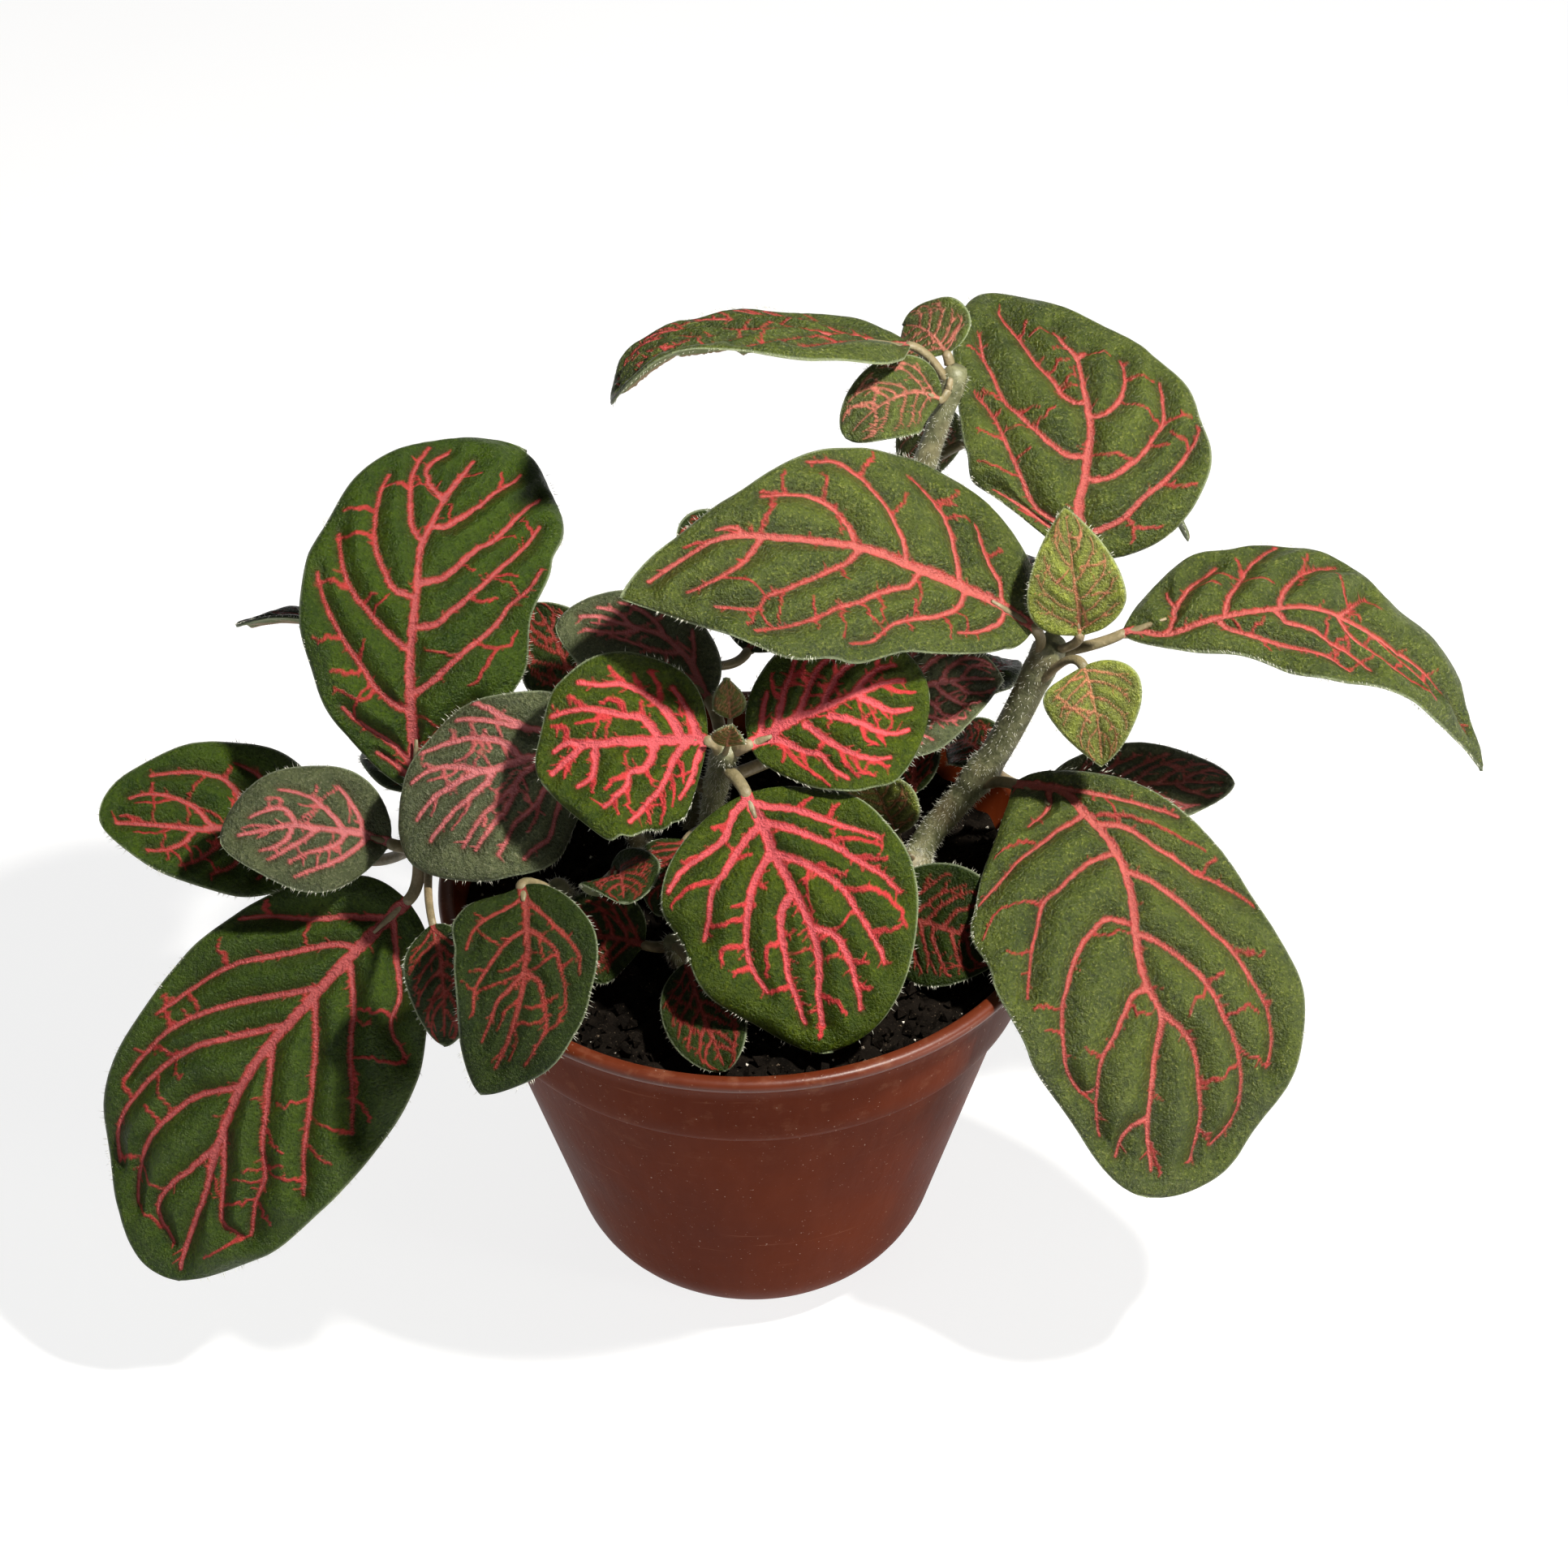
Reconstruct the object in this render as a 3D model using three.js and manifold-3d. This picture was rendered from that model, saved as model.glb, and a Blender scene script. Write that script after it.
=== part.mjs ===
// A red-veined nerve plant in a terracotta plastic nursery pot. Millimetres, +Z up. The origin is the centre of
// the pot's underside. The plant's front faces -Y, so +X is to the right of it.
import * as THREE from "three";
import { mergeVertices } from "three/addons/utils/BufferGeometryUtils.js";
import Module from "manifold-3d";

const wasm = await Module();
wasm.setup();

// Pot: an 8.5 cm round nursery pot with a rim band.
const RIM_RADIUS = 42.5;
const POT_HEIGHT = 64;
const LIP_HEIGHT = 1.8;
const BAND_TOP_RADIUS = 41.6;
const BAND_HEIGHT = 14;
const BAND_FOOT_RADIUS = 38.6;
const BODY_TOP_RADIUS = 37;
const BODY_FOOT_RADIUS = 23;
const FOOT_ROUND = 10;
const FOOT_TUCK = 9;
const FOOT_LEVELS = [0, 0.5, 1.8, 4, 7, FOOT_ROUND];
const BAND_EDGE = 0.8;
const BEVEL = 0.4;
const POT_WALL = 1.3;
const FLOOR_THICKNESS = 1.6;
const POT_SIDES = 48;
const DRAIN_HOLES = 6;
const DRAIN_RADIUS = 2;
const DRAIN_CIRCLE = 9;
const DRAIN_SIDES = 12;

// Soil: fills the pot to just under the lip, with a crumbly top.
const SOIL_LEVEL = 58.5;
const SOIL_LUMP = 0.9;
const SOIL_SHOULDER = 1.6;
const SOIL_RINGS = 7;
const SOIL_EDGE = 0.3;
const SOIL_SIDES = 36;
const CLEARANCE = 0.3;

// Stems: plain tubes, which start deep in the soil.
const STEM_SIDES = 8;
const STEM_STEPS = 7;
const STEM_DEPTH = 7;

// Leaf blades.
const BLADE_THICKNESS = 0.7;
const BLADE_TIP_WIDTH = 1;
const MARGIN_WAVE = 0.05;
const MARGIN_WAVES = 1.8;
const PETIOLE_SHARE = 0.12;
const PETIOLE_LEAST = 0.8;
const PETIOLE_MOST = 1.8;
const PETIOLE_THICKNESS = 1.3;
const PETIOLE_GAP = 0.9;
const PETIOLE_ROWS = 2;

// Squares along and across a blade, and how much closer its rows come at base and tip.
const LARGE_WIDTH = 19;
const LARGE_GRID = [10, 6];
const SMALL_GRID = [7, 4];
const ROW_EASE = 0.3;
const WAVE_STEP = 2.4;

// Stems: foot in the soil, two bends, the top, and the radius.
const STEMS = {
  right: [[22, 3, 58.5], [24, 8, 62], [33, 9, 76], [41, 8, 97], 2],
  back: [[15, 15, 58.5], [18, 20, 84], [22, 26, 104], [28.5, 30, 126], 1.5],
  rosette: [[-3, 3, 58.5], [-5, -1, 72], [-4, -5, 84], [-2.5, -8.5, 92.5], 1.5],
  left: [[-12, 4, 58.5], [-20, 4, 74], [-34, 0, 76], [-45, -3, 71], 1.6],
  rear: [[-8, 17, 58.5], [-9, 20, 74], [-8, 22, 86], [-5, 23, 98], 1.4],
  front_left: [[-18, -6, 58.5], [-22, -9, 65], [-24, -13, 71], [-25, -17, 76], 1.3],
  front: [[-9, -13, 58.5], [-9.5, -14.5, 61], [-10, -16, 64], [-10, -17.5, 67], 1.1],
};

// Blade outlines: where the blade is widest (0 at its base, 1 at its tip), and how it narrows to its base and
// to its tip (0.5 is round, and more is sharper).
const OUTLINES = {
  oval: [0.45, 0.56, 0.6],
  round: [0.46, 0.5, 0.5],
  sharp: [0.37, 0.54, 0.86],
  low: [0.54, 0.62, 0.5],
  heavy: [0.62, 0.75, 0.5],
  pointed: [0.35, 0.5, 1.2],
  long: [0.5, 0.7, 0.95],
};

// Where along the blade its margins' shares are given, and those of an even blade.
const FIRST_SHARE = 0.1;
const SHARE_STEP = 0.2;
const EVEN = [1, 1, 1, 1, 1];

// Leaves. Each one's midrib is a curve from the blade's base to its tip. at is how far up its stem it
// sits, from 0 to 1. faces is the way the blade looks at its base and at its tip. fold is the rise of the two
// halves from the midrib, and their bend from there to the margin, in degrees. margins, where a blade is uneven, is
// how far its right side and its left side reach, as shares of the outline at five places from base to tip.
const LEAVES = {
  left_upright: {
    stem: "left", at: 0.98, midrib: [[-44.5, 0, 79], [-43.5, 3, 100], [-42, 18, 112], [-30, 38, 108]],
    width: 34, outline: "low", faces: [[0, -8, 3], [1, -4, 9]], fold: [8, -22],
    margins: [[0.95, 0.94, 0.79, 0.86, 1.05], [1.03, 1.07, 1.02, 0.98, 0.9]],
  },
  left_far: {
    stem: "left", at: 1, midrib: [[-56, 6, 63.5], [-66, 7, 69.5], [-78, 5, 73.5], [-88, 2, 72.5]],
    width: 22, outline: "oval", faces: [[0, -5, 8], [0, -5, 8]], fold: [8, -20],
  },
  left_small: {
    stem: "left", at: 1, midrib: [[-48, -5, 74], [-54, -5.5, 78], [-62, -7, 80], [-70, -8, 77]],
    width: 18, outline: "oval", faces: [[0, -6, 8], [-2, -6, 8]], fold: [6, -25],
  },
  left_front: {
    stem: "left", at: 1, midrib: [[-46, -7.5, 66], [-58, -15.5, 59], [-77.5, -28, 42], [-78, -35, 22]],
    width: 39, outline: "round", faces: [[-2, -8, 6], [-2, -8, 4]], fold: [4, -16],
    margins: [[0.88, 0.87, 0.91, 1, 0.87], [0.9, 1, 1, 1.02, 1.08]],
  },
  left_hidden: {
    stem: "left", at: 0.93, midrib: [[-41, -22, 74], [-40, -26, 73], [-39, -29, 67], [-40, -30, 60]],
    width: 10, outline: "oval", faces: [[0, -9, 4], [0, -9, 2]], fold: [4, -10],
  },
  left_rear: {
    stem: "left", at: 0.75, midrib: [[-50, 25, 86], [-55, 25, 90], [-62, 24, 93.5], [-70, 22, 91]],
    width: 16, outline: "oval", faces: [[0, 5, 8], [0, 5, 8]], fold: [4, -10],
  },
  left_back: {
    stem: "left", at: 0.7, midrib: [[-37, 11, 70], [-42, 18, 72], [-48, 26, 71], [-52, 33, 64]],
    width: 20, outline: "oval", faces: [[-2, 2, 9], [-5, 6, 7]], fold: [5, -18],
  },
  inner_left: {
    stem: "rosette", at: 0.62, midrib: [[-19, -5, 88], [-28, -6.5, 91], [-38, -10, 86], [-44, -14, 77.5]],
    width: 26, outline: "round", faces: [[0, -8, 7], [-5, -8, 5]], fold: [8, -25],
    margins: [[0.9, 0.82, 0.87, 0.82, 0.75], [1, 1, 1, 1, 1.1]],
  },
  rosette_left: {
    stem: "rosette", at: 0.98, midrib: [[-5, -10, 94.5], [-11, -10.5, 96], [-20, -13, 96], [-26, -16, 92]],
    width: 26, outline: "round", faces: [[0, -7, 8], [-2, -8, 7]], fold: [8, -20],
    margins: [[1, 0.97, 0.95, 0.92, 0.7], [1.15, 0.93, 0.87, 0.97, 1.3]],
  },
  rosette_right: {
    stem: "rosette", at: 0.98, midrib: [[0.5, -9.5, 93.5], [8, -9, 97], [18, -7, 99], [24, -4, 97]],
    width: 23, outline: "round", faces: [[0, -7, 8], [2, -8, 7]], fold: [8, -20],
    margins: [[0.8, 0.86, 0.91, 1, 1], [1, 1, 1, 1, 1]],
  },
  rosette_front: {
    stem: "rosette", at: 0.86, midrib: [[0, -13, 88], [3, -21, 85], [8, -30, 74], [11, -34, 62]],
    width: 33, outline: "round", faces: [[0, -7, 8], [0, -9, 3]], fold: [6, -18],
    margins: [[0.97, 1, 0.9, 0.92, 0.8], [1, 1, 1.03, 1, 1]],
  },
  rosette_back: {
    stem: "rosette", at: 0.88, midrib: [[-5, 1, 93], [-9, 4, 98], [-17, 6, 101], [-25, 7, 101]],
    width: 16, outline: "oval", faces: [[0, -5, 8], [0, -5, 8]], fold: [6, -16],
  },
  rosette_under_right: {
    stem: "rosette", at: 0.66, midrib: [[12, 4, 86], [20, 7, 90], [28, 11, 90], [35, 14, 86]],
    width: 18, outline: "sharp", faces: [[0, -7, 8], [0, -7, 8]], fold: [4, -16],
  },
  core_left: {
    stem: "rosette", at: 0.42, midrib: [[-8.2, -10, 78], [-8.9, -13, 78.7], [-10.5, -16, 75.9], [-11.8, -17, 70.8]],
    width: 10.5, outline: "oval", faces: [[-2, -8, 4], [-2, -8, 3]], fold: [5, -15],
  },
  rosette_bud_near: {
    stem: "rosette", at: 1, midrib: [[-2.4, -11, 94.5], [-2.4, -12, 96], [-2, -12.5, 97.5], [-1.5, -12.5, 99]],
    width: 4.5, outline: "sharp", faces: [[0, -9, 4], [0, -9, 4]], fold: [10, -20],
  },
  rosette_bud_far: {
    stem: "rosette", at: 1, midrib: [[-2, -6.5, 95.5], [-2, -6, 97], [-2.4, -5.5, 99], [-2.4, -5, 101]],
    width: 4.5, outline: "sharp", faces: [[0, -9, 4], [0, -9, 4]], fold: [10, -20],
  },
  right_inward: {
    stem: "right", at: 0.98, midrib: [[38, 6, 100.5], [24, 5, 115], [1, -1, 123.5], [-15.5, -6, 114.2]],
    width: 31, outline: "sharp", faces: [[0, -5, 9], [0, -5, 8]], fold: [6, -18],
    margins: [[1, 1.05, 0.97, 0.77, 0.65], [0.76, 0.78, 1.02, 1.27, 1.35]],
  },
  right_upright: {
    stem: "right", at: 0.98, midrib: [[44.5, 14, 106], [48, 17, 117], [47, 31, 122], [32.7, 51, 124.8]],
    width: 33.5, outline: "low", faces: [[0, -8, 4], [0, 2, 9]], fold: [8, -18],
    margins: [[1.1, 1.05, 0.95, 0.88, 0.72], [1.12, 1.08, 0.97, 0.95, 1]],
  },
  right_outward: {
    stem: "right", at: 0.98, midrib: [[50, 8, 98], [64, 8, 107], [90, 7, 107], [99, 2, 79]],
    width: 26, outline: "long", faces: [[0, -1, 9], [7, -2, 4]], fold: [4, -22],
    margins: [[0.93, 0.76, 0.9, 0.83, 1], [1.25, 1.03, 0.97, 0.68, 0.75]],
  },
  right_bud_upper: {
    stem: "right", at: 1, midrib: [[44, 5, 100], [43.5, 4, 105], [42.5, 5, 112], [41.6, 9, 117.6]],
    width: 13, outline: "sharp", faces: [[0, -9, 2], [0, -9, 5]], fold: [14, -20],
  },
  right_bud_lower: {
    stem: "right", at: 0.92, midrib: [[44.3, 0.6, 98], [45, -1.5, 97.5], [46.4, -4, 92], [47, -4, 85]],
    width: 13, outline: "sharp", faces: [[0, -9, 4], [0, -9, 2]], fold: [12, -20],
  },
  right_low: {
    stem: "right", at: 0.62, midrib: [[36, 4, 76], [49, -8.5, 80], [58, -29.5, 62], [52.5, -39, 40]],
    width: 41, outline: "heavy", faces: [[3, -6, 7], [2, -8, 4]], fold: [6, -18],
    margins: [[1.3, 1.24, 1.04, 0.9, 0.78], [0.96, 0.92, 0.95, 1.06, 0.94]],
  },
  right_low_rear: {
    stem: "right", at: 0.64, midrib: [[41, 13, 68], [48, 12, 69], [59, 11, 71], [67, 10, 71]],
    width: 14, outline: "oval", faces: [[0, -3, 9], [0, -3, 9]], fold: [4, -16],
  },
  right_pale: {
    stem: "right", at: 0.6, midrib: [[33, 14, 71], [32, 18, 73], [30, 22, 71], [28, 25, 67.5]],
    width: 9, outline: "oval", faces: [[-3, -3, 8], [-3, -3, 8]], fold: [4, -16],
  },
  core_right: {
    stem: "right", at: 0.08, midrib: [[17, -10, 64], [23, -13, 67], [29, -17, 68], [34, -20, 66]],
    width: 17, outline: "oval", faces: [[0, -7, 7], [0, -7, 7]], fold: [4, -14],
  },
  core_young: {
    stem: "right", at: 0.2, midrib: [[20, 1, 70], [19, 0, 75], [17, -1, 80], [15, -2, 83]],
    width: 10, outline: "oval", faces: [[-3, -8, 4], [-3, -8, 4]], fold: [8, -14],
  },
  core_dark: {
    stem: "back", at: 0.12, midrib: [[23, 15, 66], [23, 17, 70], [23, 18.5, 73], [23, 20, 76]],
    width: 7.5, outline: "oval", faces: [[0, -9, 4], [0, -9, 4]], fold: [4, -10],
  },
  top_left: {
    stem: "back", at: 0.97, midrib: [[22, 29, 130], [8, 26, 136], [-16, 22, 141], [-17, 20, 127]],
    width: 18.5, outline: "oval", faces: [[0, 1, 9.5], [-9, 0, 2]], fold: [4, -14],
    margins: [[1.1, 0.85, 0.8, 0.85, 1.15], [1.6, 1.2, 1.05, 1.05, 1.15]],
  },
  top_front: {
    stem: "back", at: 0.98, midrib: [[26, 26, 123.5], [23, 23, 128], [18, 20, 128], [13.5, 18, 122.5]],
    width: 11, outline: "round", faces: [[0, -7, 7], [-3, -8, 4]], fold: [6, -24],
  },
  top_back: {
    stem: "back", at: 1, midrib: [[27, 31, 127.5], [26, 33, 129], [23.5, 36, 129.5], [21.5, 38, 127.5]],
    width: 12, outline: "round", faces: [[0, -7, 7], [0, -5, 8]], fold: [6, -20],
  },
  top_under: {
    stem: "back", at: 0.95, midrib: [[26.5, 34, 117.5], [26, 36, 113], [24.5, 37, 108], [23, 36, 103]],
    width: 9, outline: "oval", faces: [[0, -9, 3], [0, -9, 2]], fold: [4, -14],
  },
  top_right: {
    stem: "back", at: 0.8, midrib: [[37, 37, 110.5], [44, 37, 109], [58, 36, 108], [61, 31, 97]],
    width: 14, outline: "oval", faces: [[0, 2, 9], [9, 2, 3]], fold: [4, -18],
  },
  back_outward: {
    stem: "back", at: 0.5, midrib: [[28, 32, 83], [34, 39, 88], [42, 46, 86], [49, 52, 76]],
    width: 24, outline: "oval", faces: [[2, 2, 9], [5, 6, 7]], fold: [5, -18],
  },
  back_low: {
    stem: "back", at: 0.3, midrib: [[22, 26, 71], [26, 34, 74], [32, 43, 72], [37, 49, 64]],
    width: 20, outline: "oval", faces: [[1, 3, 9], [4, 7, 6]], fold: [5, -18],
  },
  rear_tip: {
    stem: "rear", at: 0.98, midrib: [[-5, 18, 100], [-4.5, 14, 106], [-5.5, 11, 111], [-8.5, 9, 111]],
    width: 13, outline: "oval", faces: [[0, -7, 7], [0, -7, 7]], fold: [4, -14],
  },
  rear_inner: {
    stem: "rear", at: 0.45, midrib: [[-22, 13, 82], [-24, 16, 87], [-27, 20, 92], [-29, 22, 94]],
    width: 13, outline: "sharp", faces: [[0, -8, 5], [0, -8, 6]], fold: [4, -14],
  },
  rear_left: {
    stem: "rear", at: 0.6, midrib: [[-16, 29, 74], [-24, 33, 79], [-33, 38, 78], [-40, 43, 70]],
    width: 25, outline: "oval", faces: [[-3, 3, 9], [-5, 6, 7]], fold: [5, -18],
  },
  rear_right: {
    stem: "rear", at: 0.6, midrib: [[0, 27, 82], [5, 34, 88], [10, 43, 87], [13, 50, 79]],
    width: 24, outline: "oval", faces: [[1, 3, 9], [2, 8, 7]], fold: [5, -18],
  },
  rear_low: {
    stem: "rear", at: 0.25, midrib: [[-13, 26, 68], [-19, 32, 71], [-25, 40, 70], [-29, 46, 63]],
    width: 18, outline: "oval", faces: [[-1, 3, 9], [-4, 7, 6]], fold: [5, -18],
  },
  overhanging: {
    stem: "front_left", at: 0.96, midrib: [[-29, -23, 81], [-28, -29, 82], [-30, -37, 73], [-34.5, -40, 60.5]],
    width: 19, outline: "oval", faces: [[0, -8, 5], [0, -9, 3]], fold: [6, -18],
    margins: [[1, 0.97, 0.82, 0.76, 0.8], [1, 1.1, 1.09, 1.19, 1.3]],
  },
  core_far_left: {
    stem: "front_left", at: 0.5, midrib: [[-18, -13, 75], [-17, -16, 79], [-16, -19, 80], [-16, -23, 78]],
    width: 11, outline: "oval", faces: [[1, -6, 8], [1, -8, 5]], fold: [4, -14],
  },
  soil_front: {
    stem: "front", at: 1, midrib: [[-8, -22, 67], [-7, -27, 66], [-4.5, -33, 63], [-3, -36, 60.5]],
    width: 11, outline: "oval", faces: [[0, -7, 7], [0, -8, 5]], fold: [4, -14],
  },
  soil_left: {
    stem: "front", at: 0.8, midrib: [[-14, -17, 66], [-18, -18, 69], [-23, -18, 69], [-27, -18, 67]],
    width: 13, outline: "sharp", faces: [[0, -8, 6], [0, -8, 6]], fold: [4, -14],
  },
};

const COLOURS = {
  pot: 0x8a3f2b,
  soil: 0x17120f,
  stem: 0x6f6443,
  leaf: 0x3f5b2f,
};

const MATERIALS = Object.fromEntries(
  Object.entries(COLOURS).map(([name, color]) => [
    name,
    new THREE.MeshStandardMaterial({ color, roughness: name === "pot" ? 0.45 : 0.8, metalness: 0 }),
  ]),
);

const group = new THREE.Group();

function addMesh(name, geometry, material) {
  const mesh = new THREE.Mesh(geometry, MATERIALS[material]);
  mesh.name = name;
  group.add(mesh);
}

const vector = (point) => new THREE.Vector3(...point);

// A closed geometry as a solid that can be joined and cut.
function toSolid(geometry) {
  const bare = geometry.clone();
  bare.deleteAttribute("normal");
  bare.deleteAttribute("uv");
  const merged = mergeVertices(bare, 1e-3);
  return new wasm.Manifold(
    new wasm.Mesh({
      numProp: 3,
      vertProperties: merged.attributes.position.array,
      triVerts: new Uint32Array(merged.index.array),
    }),
  );
}

function toGeometry(solid) {
  const mesh = solid.getMesh();
  return new THREE.BufferGeometry()
    .setAttribute("position", new THREE.BufferAttribute(mesh.vertProperties, 3))
    .setIndex(new THREE.BufferAttribute(mesh.triVerts, 1));
}

// A profile of [radius, height] points, from the axis round to the axis, turned about +Z.
function turned(profile, sides) {
  const points = profile.map(([radius, height]) => new THREE.Vector2(radius, height));
  return new THREE.LatheGeometry(points, sides).rotateX(Math.PI / 2);
}

const bandFoot = POT_HEIGHT - BAND_HEIGHT;

// The body's outer radius at a height: a straight taper that turns under at the foot.
function bodyRadius(height) {
  const taper = BODY_FOOT_RADIUS + ((BODY_TOP_RADIUS - BODY_FOOT_RADIUS) * height) / bandFoot;
  const under = Math.max(0, 1 - height / FOOT_ROUND);
  return taper - FOOT_TUCK * (1 - Math.sqrt(1 - under * under));
}

function bodyProfile(heights, inset) {
  return heights.map((height) => [bodyRadius(height) - inset, height]);
}

function makePot() {
  const footLevels = FOOT_LEVELS.filter((level) => level > 2 * FLOOR_THICKNESS).reverse();
  const outer = [
    [0, 0],
    ...bodyProfile([...FOOT_LEVELS, bandFoot], 0),
    [BAND_FOOT_RADIUS, bandFoot + BAND_EDGE],
    [BAND_TOP_RADIUS, POT_HEIGHT - LIP_HEIGHT - BEVEL],
    [RIM_RADIUS, POT_HEIGHT - LIP_HEIGHT],
    [RIM_RADIUS, POT_HEIGHT - BEVEL],
    [RIM_RADIUS - BEVEL, POT_HEIGHT],
    [BAND_TOP_RADIUS - POT_WALL + BEVEL, POT_HEIGHT],
    [BAND_TOP_RADIUS - POT_WALL, POT_HEIGHT - BEVEL],
    [BAND_FOOT_RADIUS - POT_WALL, bandFoot + BAND_EDGE],
    ...bodyProfile([bandFoot, ...footLevels, FLOOR_THICKNESS], POT_WALL),
    [0, FLOOR_THICKNESS],
  ];
  let pot = toSolid(turned(outer, POT_SIDES));
  for (let i = 0; i < DRAIN_HOLES; i++) {
    const angle = (2 * Math.PI * (i + 0.5)) / DRAIN_HOLES;
    const hole = new THREE.CylinderGeometry(DRAIN_RADIUS, DRAIN_RADIUS, 4 * FLOOR_THICKNESS, DRAIN_SIDES)
      .rotateX(Math.PI / 2)
      .translate(DRAIN_CIRCLE * Math.cos(angle), DRAIN_CIRCLE * Math.sin(angle), 0);
    pot = pot.subtract(toSolid(hole));
  }
  addMesh("pot", toGeometry(pot), "pot");
}

// A tube along a stem's curve, thickened by extra.
function stemTube([foot, low, high, top, radius], extra = 0) {
  const sunk = vector(foot).add(new THREE.Vector3(0, 0, -STEM_DEPTH));
  const path = new THREE.CatmullRomCurve3([sunk, vector(foot), vector(low), vector(high), vector(top)]);
  const section = new THREE.Shape();
  for (let i = 0; i < STEM_SIDES; i++) {
    const angle = (2 * Math.PI * i) / STEM_SIDES;
    section[i ? "lineTo" : "moveTo"]((radius + extra) * Math.cos(angle), (radius + extra) * Math.sin(angle));
  }
  return new THREE.ExtrudeGeometry(section, { steps: STEM_STEPS, extrudePath: path, bevelEnabled: false });
}

// The top of the soil: low crumbs that fade out at the wall.
function soilTop(x, y) {
  const crumbs = Math.sin(0.31 * x + 1.2) * Math.cos(0.37 * y - 0.4) + 0.6 * Math.sin(0.83 * x - 0.71 * y);
  return SOIL_LEVEL + SOIL_LUMP * crumbs;
}

function makeSoil() {
  const bandSlope = (BAND_TOP_RADIUS - BAND_FOOT_RADIUS) / BAND_HEIGHT;
  const wallRadius = (level) =>
    level < bandFoot ? bodyRadius(level) : BAND_FOOT_RADIUS + bandSlope * (level - bandFoot);
  const floorLevel = FLOOR_THICKNESS + CLEARANCE;
  const levels = [
    floorLevel,
    ...FOOT_LEVELS.filter((level) => level > 2 * FLOOR_THICKNESS),
    bandFoot - BAND_EDGE,
    bandFoot + 2 * BAND_EDGE,
    SOIL_LEVEL - SOIL_SHOULDER,
  ];
  const wall = levels.map((level) => [wallRadius(level) - POT_WALL - 2 * CLEARANCE, level]);
  const topRadius = wall.at(-1)[0];
  const shares = [...Array(SOIL_RINGS).keys()].map((i) => 1 - (i + SOIL_EDGE) / SOIL_RINGS);
  const rings = shares.map((share) => [topRadius * share, SOIL_LEVEL]);
  const geometry = turned([[0, floorLevel], ...wall, ...rings, [0, SOIL_LEVEL]], SOIL_SIDES);
  const place = geometry.attributes.position;
  for (let i = 0; i < place.count; i++) {
    if (place.getZ(i) > SOIL_LEVEL - SOIL_SHOULDER / 2) place.setZ(i, soilTop(place.getX(i), place.getY(i)));
  }
  let soil = toSolid(geometry);
  for (const stem of Object.values(STEMS)) soil = soil.subtract(toSolid(stemTube(stem, CLEARANCE)));
  addMesh("soil", toGeometry(soil), "soil");
}

// Half the blade's width at s, from 0 at its base to 1 at its tip, as a share of its widest.
function bladeOutline([widest, baseTaper, tipTaper], s) {
  return s < widest
    ? Math.sin((Math.PI / 2) * (s / widest)) ** baseTaper
    : Math.cos((Math.PI / 2) * ((s - widest) / (1 - widest))) ** tipTaper;
}

// How far a side of the blade reaches at s, as a share of its outline, blended between the places given.
function sideShare(shares, s) {
  const spot = THREE.MathUtils.clamp((s - FIRST_SHARE) / SHARE_STEP, 0, shares.length - 1);
  const k = Math.min(Math.floor(spot), shares.length - 2);
  return THREE.MathUtils.lerp(shares[k], shares[k + 1], THREE.MathUtils.smoothstep(spot - k, 0, 1));
}

// The petiole's cross sections, from just off the stem to the blade's base.
function petioleStations(stem, height, rib, width) {
  const stemPath = new THREE.CatmullRomCurve3(stem.slice(0, 4).map(vector));
  const node = stemPath.getPoint(height);
  const reach = rib.v0.clone().sub(node);
  const along = stemPath.getTangent(height);
  const aside = reach.clone().addScaledVector(along, -reach.dot(along)).normalize();
  const start = node.clone().addScaledVector(aside, stem[4] + PETIOLE_GAP);
  const bow = rib.v0.clone().addScaledVector(rib.getTangent(0), -reach.length() / 3);
  const path = new THREE.QuadraticBezierCurve3(start, bow, rib.v0);
  return [...Array(PETIOLE_ROWS).keys()].map((i) => {
    const u = i / PETIOLE_ROWS;
    return {
      point: path.getPoint(u), tangent: path.getTangent(u), s: 0,
      half: petioleWidth(width) / 2, thick: PETIOLE_THICKNESS, bent: 0,
    };
  });
}

function petioleWidth(width) {
  return THREE.MathUtils.clamp(PETIOLE_SHARE * width, PETIOLE_LEAST, PETIOLE_MOST);
}

// The blade's cross sections, a little closer together at its base and tip.
function bladeStations(rib, width, outline) {
  const rows = width > LARGE_WIDTH ? LARGE_GRID[0] : SMALL_GRID[0];
  return [...Array(rows + 1).keys()].map((i) => {
    const even = i / rows;
    const eased = (1 - Math.cos(Math.PI * even)) / 2;
    const s = THREE.MathUtils.lerp(even, eased, ROW_EASE);
    const least = (i < rows / 2 ? petioleWidth(width) : BLADE_TIP_WIDTH) / 2;
    return {
      point: rib.getPoint(s), tangent: rib.getTangent(s), s,
      half: Math.max(least, (width / 2) * bladeOutline(outline, s)),
      thick: i ? BLADE_THICKNESS : PETIOLE_THICKNESS, bent: i ? 1 : 0,
    };
  });
}

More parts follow.
